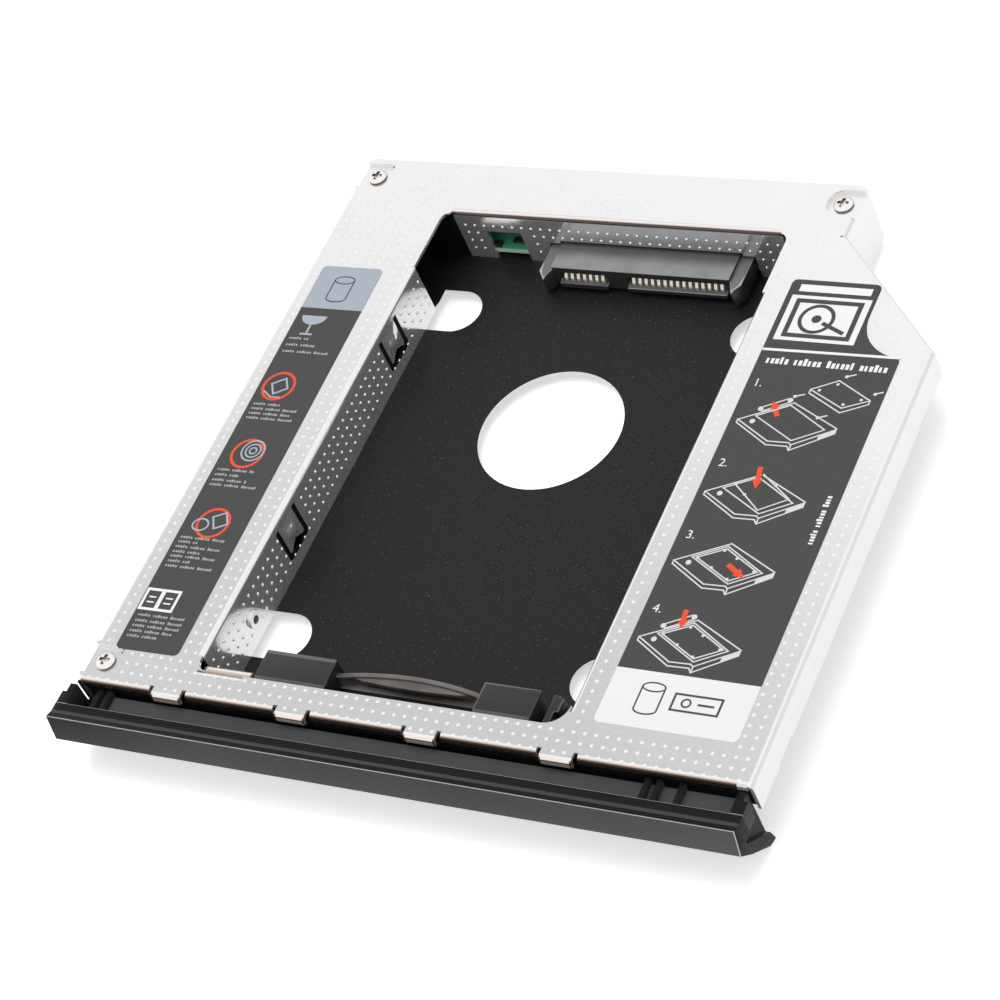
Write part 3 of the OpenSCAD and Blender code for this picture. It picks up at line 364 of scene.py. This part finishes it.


# A paler copy of the bright sheet, which paints highlights: the dimples, and the strips along the
# tongue slots, come out white in it.
peak = Shader(bpy.data.materials.new("burnished dimples"))
dome_mottle = peak.noise(2600, 2)
painted_highlight_metal = peak.surface(Base_Color=dome_mottle.blend((0.94, 0.94, 0.94), (0.99, 0.99, 0.99)),
    Metallic=0.7, Roughness=dome_mottle.ramp(0, 1, 0.12, 0.2))
domes("plate_dimples", [at(x, y, PLATE_TOP)
    for x in [-15.33 + PITCH_X * i for i in range(-24, 40)]
    for y in [0.9 + PITCH_Y * i for i in range(62)] if on_plate(x, y)], Matrix())
domes("left_wall_dimples", [at(BAY_LEFT, y, z)
    for y in [0.05 + 1.997 * i for i in range(5, 50)]
    for z in (3.4, 5.45, 7.5, 9.55) if on_left_wall(y, z)],
    Matrix.Rotation(math.pi / 2, 4, "Y"), 2.4)
domes("rear_wall_dimples", [at(x, BAY_REAR, z)
    for x in [-18.5 + 2.005 * i for i in range(-11, 23)]
    for z in (3.3, 5.35, 7.4, 9.4) if on_rear_wall(x, z)],
    Matrix.Rotation(math.pi / 2, 4, "X"), 2.4)


# Spring tongues. A U-shaped slot frees each tongue in the bay's left wall, and a punched dome makes it
# press on the drive. A flat dark U strip laid on the wall paints the slot's shade wide, and thin pale
# strips paint highlights along its lower and outer edges and down the tongue's left edge.
def slot_u(bm, y0, y1, top0, top1, low, width, x):
    """A U of flat strip on the left wall, between two heights, with its lower corners rounded."""
    corners = [bm.verts.new(at(x, y, z)) for y, z in (
        (y0, top0), (y0, low), (y1, low), (y1, top1),
        (y1 - width, top1), (y1 - width, low + width), (y0 + width, low + width), (y0 + width, top0))]
    bm.faces.new(corners)
    bmesh.ops.bevel(bm, geom=[corners[i] for i in (1, 2, 5, 6)], offset=0.0009, segments=4,
        affect="VERTICES", profile=0.5, material=-1)


dark, slot_highlights = bmesh.new(), bmesh.new()
for middle in TONGUES:
    slot_u(dark, middle - 3.75, middle + 3.75, 10.7, 10.9, 3.3, 1.05, -41.86)
    slot_u(slot_highlights, middle - 3.85, middle + 3.85, 4.1, 9.6, 3.18, 0.13, -41.85)
    bmesh.ops.create_grid(slot_highlights, x_segments=1, y_segments=1, size=0.5,
        matrix=Matrix.Translation(at(-41.84, middle - 2.66, 7.6))
        @ Matrix.Rotation(math.pi / 2, 4, "Y") @ Matrix.Diagonal((0.006, 0.00014, 1, 1)))
shade = Shader(bpy.data.materials.new("slot shade"))
dust = shade.noise(3000, 2)
slot_shade = shade.surface(
    Base_Color=dust.ramp(0.62, 0.75).blend((0.006, 0.006, 0.007), (0.1, 0.1, 0.1)),
    Roughness=dust.ramp(0, 1, 0.5, 0.7), Specular_IOR_Level=0.1)
piece("tongue_slot_shade", dark, slot_shade)
piece("tongue_slot_highlights", slot_highlights, painted_highlight_metal)


# Pan. The floor is pressed from sheet metal and painted black with a fine speckle. The round hole
# and the slots were punched through the paint, so their cut edges show bright metal.
paint = Shader(bpy.data.materials.new("black paint"))
speckle = paint.noise(3600, 1)
flecks = speckle.ramp(0.7, 0.76)
x, y, z = paint.place()
nx, ny, nz = paint.facing()
cut_edge = (abs(nz) < 0.5) * (z < 2.6) * (abs(x + 5.4) < 42) * (y < 52) * (y > -56)
speckled = flecks.blend((0.012, 0.012, 0.013), (0.2, 0.2, 0.2))
dress(paint.surface(Base_Color=cut_edge.blend(speckled, (0.9, 0.9, 0.88)),
    Roughness=speckle.ramp(0, 1, 0.4, 0.6), Specular_IOR_Level=0.22,
    bump=speckle, bump_mm=0.01), "bottom_pan")


# Painted shade. A thin sheet of black stands on edge in front of the board's left part, tucked behind
# the bay's rear wall, with a flat strip at its foot, so that the gap there reads dark.
def slab(bm, low, high):
    """A flat block between two corners, in mm on the metal body."""
    low, high = Vector(low), Vector(high)
    bmesh.ops.create_cube(bm, size=1, matrix=Matrix.Translation(at(*((low + high) / 2)))
        @ Matrix.Diagonal((*((high - low) / 1000), 1)))


bm = bmesh.new()
slab(bm, (-58, 113.25, 0.9), (-36.6, 113.4, 11.6))
slab(bm, (-58, 111.2, 0.86), (-42.3, 113.3, 0.96))
bmesh.ops.bevel(bm, geom=bm.edges[:], offset=0.00004, segments=1, affect="EDGES", profile=0.5,
    material=-1)
shade_black = Shader(bpy.data.materials.new("black film"))
haze = shade_black.noise(300, 2)
piece("gap_shade_sheet", bm, shade_black.surface(
    Base_Color=haze.blend((0.004, 0.004, 0.004), (0.008, 0.008, 0.009)),
    Roughness=haze.ramp(0, 1, 0.45, 0.6), Specular_IOR_Level=0.2))


# Bezel. A hollow front moulded in black plastic, which clips over the pan's front edge. Its face has a
# satin grain and is painted paler than the top, as painted reflection of the pale floor, and paler
# again towards the right; the mould rounds its edges softly, and painted highlights run along its
# edges. A thin web closes the trough behind its top edge.
front = Shader(bpy.data.materials.new("bezel plastic"))
grain = front.noise(3200, 2)
broad = front.noise(70, 2)
specks = front.noise(3600, 2)
x, y, z = front.place()
nx, ny, nz = front.facing()
# The front face is painted paler than the top, as painted reflection of the pale floor, and paler again
# towards the right.
face = (ny < -0.6) * (y < -66)
paler = x.ramp(-66, -30, 0, 0.5) + x.ramp(0, 62, 0, 0.25)
face_grain_and_reflection = (broad * 0.25 + paler + specks * 0.5 - 0.3).blend(
    (0.008, 0.008, 0.009), (0.11, 0.112, 0.115))
# On the top, a paler stripe, and painted highlights along its rear line and the ribs' edges.
stripe = (nz > 0.5) * (y > -65.2) * (y < -64.5)
rib = (z < 13) * (z > 9) * (y > -63.1) * (abs(nx) > 0.5)
rear_line = abs(y + 62.95).ramp(0.1, 0.03) * (z > 12.9) + rib * 0.12
plain = stripe.blend((0.006, 0.006, 0.0065), (0.055, 0.056, 0.058))
top = rear_line.blend(plain, (0.35, 0.35, 0.36))
# Painted highlights along the top front edge and the edges of the right end.
crest = (y < -66.27) * (z > 13.57)
face_end = (x > 64.66) * (y + (13.7 - z) * 0.1887 < -66.2) * (z > 8.3)
ledge_end = (x > 63.9) * (z < 9) * (z > 8.3) * (nz > 0.3)
bezel_edge_highlights = (crest + (face_end + ledge_end)).capped()
dress(front.surface(Base_Color=bezel_edge_highlights.blend(face.blend(top, face_grain_and_reflection), (0.5, 0.5, 0.51)),
    Roughness=grain.ramp(0.3, 0.7, 0.36, 0.46), Specular_IOR_Level=0.13,
    bump=grain, bump_mm=0.01), "bezel")
soften("bezel", 0.1)
bm = bmesh.new()
# The web is painted a lighter grey than the bezel's black plastic, as painted light in the shaded
# trough.
slab(bm, (-56.5, -4.3, 9.9), (61.6, -0.82, 10.2))
trough_web = Shader(bpy.data.materials.new("trough web"))
cloud = trough_web.noise(200, 2)
piece("bezel_web", bm, trough_web.surface(
    Base_Color=cloud.blend((0.045, 0.047, 0.05), (0.07, 0.072, 0.075)),
    Roughness=cloud.ramp(0, 1, 0.4, 0.5), Specular_IOR_Level=0.25))

# Shell corners. The folded edge of the sheet runs on to the front line of the plate at both front
# corners, past the relief cut where the CAD's fold stops. It is the shell's own bright sheet.
FOLD_LOW = PLATE_TOP - 1
bm = bmesh.new()
for side, low in ((-1, 0.3), (1, 7)):
    arc = [(math.sin(math.radians(turn)), FOLD_LOW + math.cos(math.radians(turn)))
        for turn in range(90, -1, -15)]
    inner = [(r * 0.4, FOLD_LOW + (z - FOLD_LOW) * 0.4) for r, z in reversed(arc)]
    outline = [(1, low)] + arc + inner + [(0.4, low)]
    end = bm.faces.new([bm.verts.new(at(side * (63 + r), 1, z)) for r, z in outline])
    made = bmesh.ops.extrude_face_region(bm, geom=[end])["geom"]
    bmesh.ops.translate(bm, vec=(0, -0.00098, 0),
        verts=[part for part in made if isinstance(part, bmesh.types.BMVert)])
bmesh.ops.recalc_face_normals(bm, faces=bm.faces)
piece("shell_corners", bm, bright_sheet)


# Locking bar. A satin black moulding that lifts out of the bay's front. Its thin spring leaf, set
# between two flat pads, presses the drive against the connector.
bar = Shader(bpy.data.materials.new("bar plastic"))
grain = bar.noise(3000, 2)
wisp = bar.noise(260, 3, (0.35, 1, 1))
x, y, z = bar.place()
nx, ny, nz = bar.facing()
on_leaf = (x > -16) * (x < 12.5) * (ny < 0.3)
# Painted highlights: the bevelled edges that face up are painted a paler grey.
edge = (abs(nx) > 0.25) * (nz > 0.25) + (abs(ny) > 0.25) * (nz > 0.25)
leaf = wisp.ramp(0.3, 0.7).blend((0.09, 0.08, 0.074), (0.24, 0.215, 0.2))
pads = grain.blend((0.016, 0.016, 0.017), (0.026, 0.026, 0.027))
bar_edge_highlight = edge.capped() * 0.7
dress(bar.surface(Base_Color=bar_edge_highlight.blend(on_leaf.blend(pads, leaf), (0.16, 0.16, 0.16)),
    Roughness=grain.ramp(0.3, 0.7, 0.36, 0.48), Specular_IOR_Level=0.36,
    bump=grain, bump_mm=0.012), "locking_bar")
soften("locking_bar", 0.18)


# Connectors. Two grey glass-filled mouldings, one in the bay's rear wall for the drive and one on
# the board's rear edge for the laptop, with stamped contacts that are plated in thin gold.
moulding = Shader(bpy.data.materials.new("connector plastic"))
grain = moulding.noise(2600, 2)
reflection_mottle = moulding.noise(260, 3)
x, y, z = moulding.place()
nx, ny, nz = moulding.facing()
# Painted reflection and highlights: the top is paler where it mirrors the room and darker towards the
# wall behind it, the sides stay dark, and the up-facing bevels and the top's front edge are painted
# pale.
top_reflection = y.ramp(50.2, 53.2, 1, 0.25) * (z > 7.6) + (z < 7.6) * 0.55
top = (top_reflection * (reflection_mottle * 0.6 + 0.55)).blend((0.03, 0.03, 0.03), (0.3, 0.305, 0.31))
edge = (nz > 0.2) * (nz < 0.95) + (z > 7.7) * (y < 48.42) * (ny < -0.2)
body = (nz > 0.9).blend((0.035, 0.035, 0.036), top)
dress(moulding.surface(Base_Color=edge.capped().blend(body, (0.5, 0.5, 0.5)),
    Roughness=grain.ramp(0.3, 0.7, 0.3, 0.4), bump=grain, bump_mm=0.008),
    "drive_connector", "host_connector")
soften("drive_connector", 0.12)
gold = Shader(bpy.data.materials.new("gold plating"))
wear = gold.noise(1800, 2)
dress(gold.surface(Base_Color=wear.blend((0.97, 0.88, 0.7), (0.99, 0.95, 0.86)), Metallic=0.55,
    Roughness=wear.ramp(0.3, 0.7, 0.16, 0.28), bump=wear, bump_mm=0.003),
    "drive_signal_contacts", "drive_power_contacts", "host_signal_contacts", "host_power_contacts")


# Circuit board. Glass cloth in resin with a green solder mask, and a paler cut edge. It is screwed
# to the pan's bosses behind the bay and carries both connectors and a few dark chip parts.
board = Shader(bpy.data.materials.new("circuit board"))
weave = board.noise(1500, 2, (1, 0.3, 1))
nx, ny, nz = board.facing()
cut_edge = abs(nz) < 0.5
mask = weave.blend((0.08, 0.55, 0.27), (0.12, 0.66, 0.35))
dress(board.surface(Base_Color=cut_edge.blend(mask, (0.75, 0.97, 0.84)),
    Roughness=weave.ramp(0, 1, 0.25, 0.45), bump=weave, bump_mm=0.01), "circuit_board")
ceramic = Shader(bpy.data.materials.new("chip parts"))
tone = ceramic.noise(1200, 2)
dress(ceramic.surface(Base_Color=tone.blend((0.02, 0.018, 0.017), (0.05, 0.04, 0.035)),
    Roughness=tone.ramp(0, 1, 0.3, 0.5)), "board_capacitors")


# Screws, posts and the side nut. Plated steel, turned and pressed, with a fine turned grain, and
# painted brown shade down in the drive recess of each corner screw.
def steel(name, tint, rough):
    mat = Shader(bpy.data.materials.new(name))
    turned = mat.noise(1800, 3)
    x, y, z = mat.place()
    nx, ny, nz = mat.facing()
    # Painted shade: the drive recess of each corner screw head is painted dark brown.
    recess_shade = ((z < 13.88) + (abs(nz) < 0.4)).capped() * (z > 13.2)
    bright = turned.blend(tint, tuple(min(1, c * 1.08) for c in tint))
    return mat.surface(Base_Color=recess_shade.blend(bright, (0.2, 0.13, 0.1)), Metallic=0.75,
        Roughness=turned.ramp(0.3, 0.7, rough, rough + 0.1), bump=turned, bump_mm=0.001)


dress(steel("screw steel", (0.92, 0.9, 0.88), 0.2), "screw_front_left", "screw_rear_left",
    "screw_rear_right", "board_screw_left", "board_screw_right", "post_front_left",
    "post_rear_left", "post_rear_right")
dress(steel("nut steel", (0.85, 0.85, 0.86), 0.08), "side_nut")
for name in ("screw_front_left", "screw_rear_left", "screw_rear_right", "side_nut"):
    soften(name)


# Labels. Two stickers of satin film stuck on the plate, printed in dark grey all over, with a
# grey-blue head on the left one and a white foot on the right one. The left one sits a little
# askew, as it was stuck on.
def film(name, colour, lift=1.25):
    """Printed film in one colour; lift is how much paler its fibres are."""
    mat = Shader(bpy.data.materials.new(name))
    fibre = mat.noise(900, 3)
    return mat.surface(Base_Color=fibre.blend(colour, tuple(min(0.95, c * lift) for c in colour)),
        Roughness=fibre.ramp(0, 1, 0.5, 0.65), Specular_IOR_Level=0.15, bump=fibre, bump_mm=0.004)


GREY_BLUE = (0.41, 0.46, 0.525)
WHITE = (0.9, 0.9, 0.9)
label = Shader(bpy.data.materials.new("printed film"))
fibre = label.noise(900, 3)
x, y, z = label.place()
ground = fibre.blend((0.066, 0.065, 0.065), (0.086, 0.085, 0.085))
head = (x < 0) * (y + x * -0.0122 > 28.94)
foot = (x > 0) * (y < -40.45)
dress(label.surface(Base_Color=foot.blend(head.blend(ground, GREY_BLUE), WHITE),
    Roughness=fibre.ramp(0, 1, 0.5, 0.65), Specular_IOR_Level=0.15, bump=fibre, bump_mm=0.004),
    "left_label", "right_label")
dark_film = film("dark print", (0.07, 0.068, 0.067))
white_film = film("white print", WHITE, 1.05)
red_film = film("red print", (0.85, 0.1, 0.04), 1.1)
pale_film = film("pale print", (0.72, 0.72, 0.72), 1.1)
blue_film = film("blue print", GREY_BLUE, 1.1)


class Print:
    """Flat printed shapes in one colour, in mm on the plate's plane."""

    def __init__(self, height=12.82):
        self.bm = bmesh.new()
        self.z = height
        self.count = 0

    def lift(self):
        """The next shape's height; each lies a hair above the last, so that crossings stay clean."""
        self.count = (self.count + 1) % 16
        return self.z + 0.002 * self.count

    def rect(self, x0, y0, x1, y1):
        self.line([(x0, (y0 + y1) / 2), (x1, (y0 + y1) / 2)], y1 - y0, 0)

    def line(self, points, width=0.2, cap=0.5):
        """A stroke through the points; cap is how far each part runs on past its ends."""
        for (x0, y0), (x1, y1) in zip(points, points[1:]):
            length = math.hypot(x1 - x0, y1 - y0) + 2 * cap * width
            place = (Matrix.Translation(at((x0 + x1) / 2, (y0 + y1) / 2, self.lift()))
                @ Matrix.Rotation(math.atan2(y1 - y0, x1 - x0), 4, "Z")
                @ Matrix.Diagonal((length / 2000, width / 2000, 1, 1)))
            bmesh.ops.create_grid(self.bm, x_segments=1, y_segments=1, size=1, matrix=place)

    def arc(self, x, y, rx, ry, width, start, end, steps=18):
        angles = [math.radians(start + (end - start) * i / steps) for i in range(steps + 1)]
        self.line([(x + rx * math.cos(a), y + ry * math.sin(a)) for a in angles], width, 0.1)

    def disc(self, x, y, r, sides=16):
        bmesh.ops.create_circle(self.bm, cap_ends=True, segments=sides, radius=r / 1000,
            matrix=Matrix.Translation(at(x, y, self.lift())))

    def ring(self, x, y, rx, ry, width, sides=40):
        edges = set()
        z = self.lift()
        for grow in (-width / 2, width / 2):
            made = bmesh.ops.create_circle(self.bm, segments=sides, radius=0.001,
                matrix=Matrix.Translation(at(x, y, z)) @ Matrix.Diagonal((rx + grow, ry + grow, 1, 1)))
            edges.update(edge for vert in made["verts"] for edge in vert.link_edges)
        bmesh.ops.bridge_loops(self.bm, edges=list(edges))

    def shape(self, *points):
        z = self.lift()
        self.bm.faces.new([self.bm.verts.new(at(x, y, z)) for x, y in points])

    def number(self, body, x, y, size):
        curve = bpy.data.curves.new("number", "FONT")
        curve.body = body
        curve.size = size / 1000
        obj = bpy.data.objects.new("number", curve)
        mesh = bpy.data.meshes.new_from_object(obj)
        start = len(self.bm.verts)
        self.bm.from_mesh(mesh)
        self.bm.verts.ensure_lookup_table()
        bmesh.ops.translate(self.bm, vec=at(x, y, self.z), verts=self.bm.verts[start:])
        bpy.data.objects.remove(obj)

    def marks(self, x, y, end, tall=0.75, step=0.62, upright=False):
        """A row of small blocks in uneven groups, where the real label has a line of words."""
        i = 0
        while x < end:
            if i % 7 != 5:
                high = tall * (1.35 if i % 5 == 3 else 1)
                wide = step * (0.72 if i % 3 else 0.55)
                if upright:
                    self.rect(y - high, x, y, x + wide)
                else:
                    self.rect(x, y, x + wide, y + high)
            x += step
            i += 1

    def done(self, name, material, slot, turn=0, about=None):
        """Makes the shapes a piece; turn is in degrees round the point about."""
        bmesh.ops.recalc_face_normals(self.bm, faces=self.bm.faces)
        for face in self.bm.faces:
            if face.normal.z < 0:
                face.normal_flip()
        if turn:
            bmesh.ops.rotate(self.bm, cent=at(*about, 0), verts=self.bm.verts,
                matrix=Matrix.Rotation(math.radians(turn), 3, "Z"))
        return piece(name, self.bm, material)


# Print of the right label. Printed on the film in white, pale grey and red: a rule, a panel with a
# disk drive symbol in the head, rows of small blocks where the real one has words, and four
# numbered line drawings of how a drive goes in, each with a red arrow.
panels = Print()
panels.line([(33.6, 86.15), (58.7, 86.6)], 0.55, 0)
panels.rect(34.6, 88.5, 49.5, 98.8)
panels.rect(35.4, 99.7, 48.8, 101.3)
panels.marks(35.2, 83.1, 57.6, 1.15, 0.86)
panels.marks(46.4, 57.2, 56.4, 0.8, 0.6, upright=True)
for body, x, y in (("1.", 34.7, 77.9), ("2.", 35, 60.2), ("3.", 35, 44.8), ("4.", 35, 29.5)):
    panels.number(body, x, y, 2.4)
panels.done("right_label_panels", white_film, "right_print")

# The width of the drawings' strokes, and the left corner of each drawn tray, in mm.
PEN = 0.25
TRAY_LEFT = 34.9


def tray(lines, y):
    """The caddy seen from its corner, drawn with its left corner at the height y."""
    def to(*points):
        return [(TRAY_LEFT + px, y + py) for px, py in points]

    lines.line(to((0, 0), (8.7, 4.6), (18, 0), (18, -1.1), (11.3, -5.5), (11.3, -4.3), (18, -0.2)), PEN)
    lines.line(to((0, 0), (6.9, -4), (10.7, -3.9), (11.3, -4.3)), PEN)
    lines.line(to((0, 0), (0, -0.7), (6.9, -4.8), (10.7, -4.7), (11.3, -5.5)), PEN)
    lines.line(to((2.9, 1.1), (8.3, 4), (16, -0.5), (11, -3.4), (2.9, 1.1)), PEN)
    lines.shape(*to((15.4, -2.9), (18, -1.2), (18, -0.3), (15.4, -1.9)))
    lines.disc(TRAY_LEFT + 2.7, y - 0.1, 0.5)


def arrow(arrows, x0, y0, x1, y1):
    """A broad arrow from the first point to the second."""
    away = Vector((x1 - x0, y1 - y0))
    side = Vector((-away.y, away.x)).normalized()
    neck = Vector((x0, y0)) + away * 0.55
    arrows.line([(x0, y0), tuple(neck)], 0.9, 0)
    arrows.shape(tuple(neck + side * 0.95), tuple(neck - side * 0.95), (x1, y1))


lines = Print()
arrows = Print(12.84)
for y, ends in (
        (70.4, (41.6, 71.8, 39.8, 74.9)), (54.7, (42.7, 60.9, 43.4, 56.2)),
        (40.1, (44.5, 40.5, 48.1, 38.2)), (24.4, (40.9, 30.7, 41.3, 27))):
    tray(lines, y)
    arrow(arrows, *ends)

# Over the first tray, a drive with four screws round it.
lines.line([
    (45.4, 78.2), (49.8, 80.6), (56.6, 76.9), (52.2, 74.8), (45.4, 78.2), (45.4, 77.4),
    (52.2, 73.8), (56.6, 76.1), (56.6, 76.9)], PEN)
for x, y in ((47, 78.2), (49.8, 79.8), (55, 76.9), (52.2, 75.6)):
    lines.disc(x, y, 0.3, 10)
for x0, y0, x1, y1 in (
        (43.2, 76.4, 44.7, 77), (50.8, 81.6, 52.2, 82.2),
        (48.8, 72.3, 50.2, 72.9), (57, 78.4, 58.2, 78.9)):
    lines.line([(x0, y0), (x1, y1)], 0.3)
    lines.disc(x0, y0, 0.35, 10)

# In the last two trays the drive lies in its place; in the second it is on its way in.
for y in (40.1, 24.4):
    lines.line([(38.6, y + 1.1), (43.2, y + 3.5), (50, y - 0.4), (45.7, y - 2.8), (38.6, y + 1.1)], PEN)
    for dx, dy in ((3.9, 1.1), (8, 3.1), (10.7, 1.8), (14.5, -0.4), (7, -0.6), (10.5, -2.5)):
        lines.disc(TRAY_LEFT + dx, y + dy, 0.3, 10)
lines.line([(39.4, 57), (43.8, 59.4), (50, 54.9), (45.4, 52), (39.4, 57)], PEN)
for x, y in ((39.6, 57), (46.7, 57.4), (42, 54.9)):
    lines.disc(x, y, 0.3, 10)

# The locking bar, beside the last and the first tray.
for x, y in ((38.2, 27.4), (38.1, 73.4)):
    lines.line([(x, y), (x + 4.2, y + 2.4)], PEN)
    lines.line([(x + 0.4, y - 0.8), (x + 4.6, y + 1.6)], PEN)
    lines.disc(x, y - 0.3, 0.5)
    lines.disc(x + 4.6, y + 2.1, 0.5)
lines.done("right_label_drawings", pale_film, "right_print")
arrows.done("right_label_arrows", red_film, "right_print")


def cylinder(mark, x, low, high, r, width):
    """The plain drum that stands for a disk drive."""
    mark.ring(x, high, r, r * 0.42, width)
    mark.arc(x, low, r, r * 0.42, width, 180, 360)
    for side in (-r, r):
        mark.line([(x + side, high), (x + side, low)], width, 0)


icons = Print(12.84)
cylinder(icons, 41.3, 10.9, 15.3, 2, 0.26)
icons.line([(45.4, 11.6), (45.4, 14.7), (53.6, 14.7), (53.6, 11.6), (45.4, 11.6)], 0.36)
icons.ring(47.7, 13.15, 0.75, 0.75, 0.3, 20)
icons.line([(49.9, 13.15), (52.4, 13.15)], 0.36)
icons.line([(36.2, 89.7), (36.2, 97.6), (47.9, 97.6), (47.9, 89.7), (36.2, 89.7)], 0.9)
icons.ring(40.9, 93.65, 3, 3, 0.7)
icons.disc(40.9, 93.65, 0.9)
icons.line([(46.4, 91), (42.6, 92.7)], 0.8)
icons.done("right_label_icons", dark_film, "right_print")

# Print of the left label. A disk drive symbol on its grey-blue head, and below it plain round and
# square shapes in grey, white and red over rows of small blocks, in place of its signs and words.
# All of it is turned with the label, in degrees round the label's middle.
TURN = (0.7, (-53.8, 52.5))
symbol = Print(12.83)
cylinder(symbol, -54.1, 89.6, 94.1, 2.1, 0.22)
symbol.done("left_label_symbol", dark_film, "left_print", *TURN)

rings = Print(12.825)
for x, y in ((-56, 67.8), (-54.9, 51.9), (-54.2, 35.9)):
    rings.ring(x, y, 3.15, 3.15, 0.55)
rings.done("left_label_rings", red_film, "left_print", *TURN)

grey = Print(12.84)
bowl = [math.radians(turn) for turn in range(180, 361, 12)]
grey.shape(*[(-56.3 + 2.7 * math.cos(turn), 85 + 2.2 * math.sin(turn)) for turn in bowl])
grey.line([(-56.3, 83), (-56.3, 80.6)], 0.45)
grey.line([(-57.4, 80.5), (-55.2, 80.5)], 0.45)
grey.line([(-57.6, 68.2), (-55.2, 69.7), (-53.9, 67.4), (-56.3, 65.9), (-57.6, 68.2)], 0.38)
grey.line([(-58.4, 66.4), (-56.6, 65.2), (-54.6, 65.2)], 0.3)
for r in (0.7, 1.5, 2.3):
    grey.ring(-54, 52.6, r, r, 0.34, 24)
grey.line([(-54.8, 37.2), (-52.5, 38.4), (-51.2, 36), (-53.5, 34.7), (-54.8, 37.2)], 0.38)
grey.ring(-56.6, 35.3, 1.6, 1.3, 0.36, 24)
grey.done("left_label_shapes", blue_film, "left_print", *TURN)

pages = Print(12.83)
for x in (-59.8, -56.3):
    pages.line([(x, 16.3), (x, 20.5), (x + 3.2, 20.5), (x + 3.2, 16.3), (x, 16.3)], 0.55)
    pages.line([(x + 1, 18.9), (x + 2.2, 18.9)], 0.3)
    pages.line([(x + 1, 17.8), (x + 2.2, 17.8)], 0.3)
pages.done("left_label_pages", white_film, "left_print", *TURN)

rows = Print(12.83)
for y, end in (
        (79.1, -55.5), (77.5, -52.5), (75.9, -49.8),
        (63.1, -53.6), (62, -48.8), (60.9, -50.6), (59.8, -49.4),
        (47.6, -51.8), (46.4, -54.2), (45.2, -52), (44.1, -48.8),
        (32, -50.2), (31, -55.4), (29.9, -50.3), (28.8, -53.6),
        (27.8, -50.3), (26.7, -54.8), (25.6, -49.4),
        (14.7, -49.8), (13.5, -49.6), (12.4, -49.6), (11.3, -50.6), (10.2, -52.6)):
    rows.marks(-59.2, y, end, 0.45, 0.52)
faint_film = film("faint print", (0.42, 0.42, 0.43))
rows.done("left_label_rows", faint_film, "left_print", *TURN)
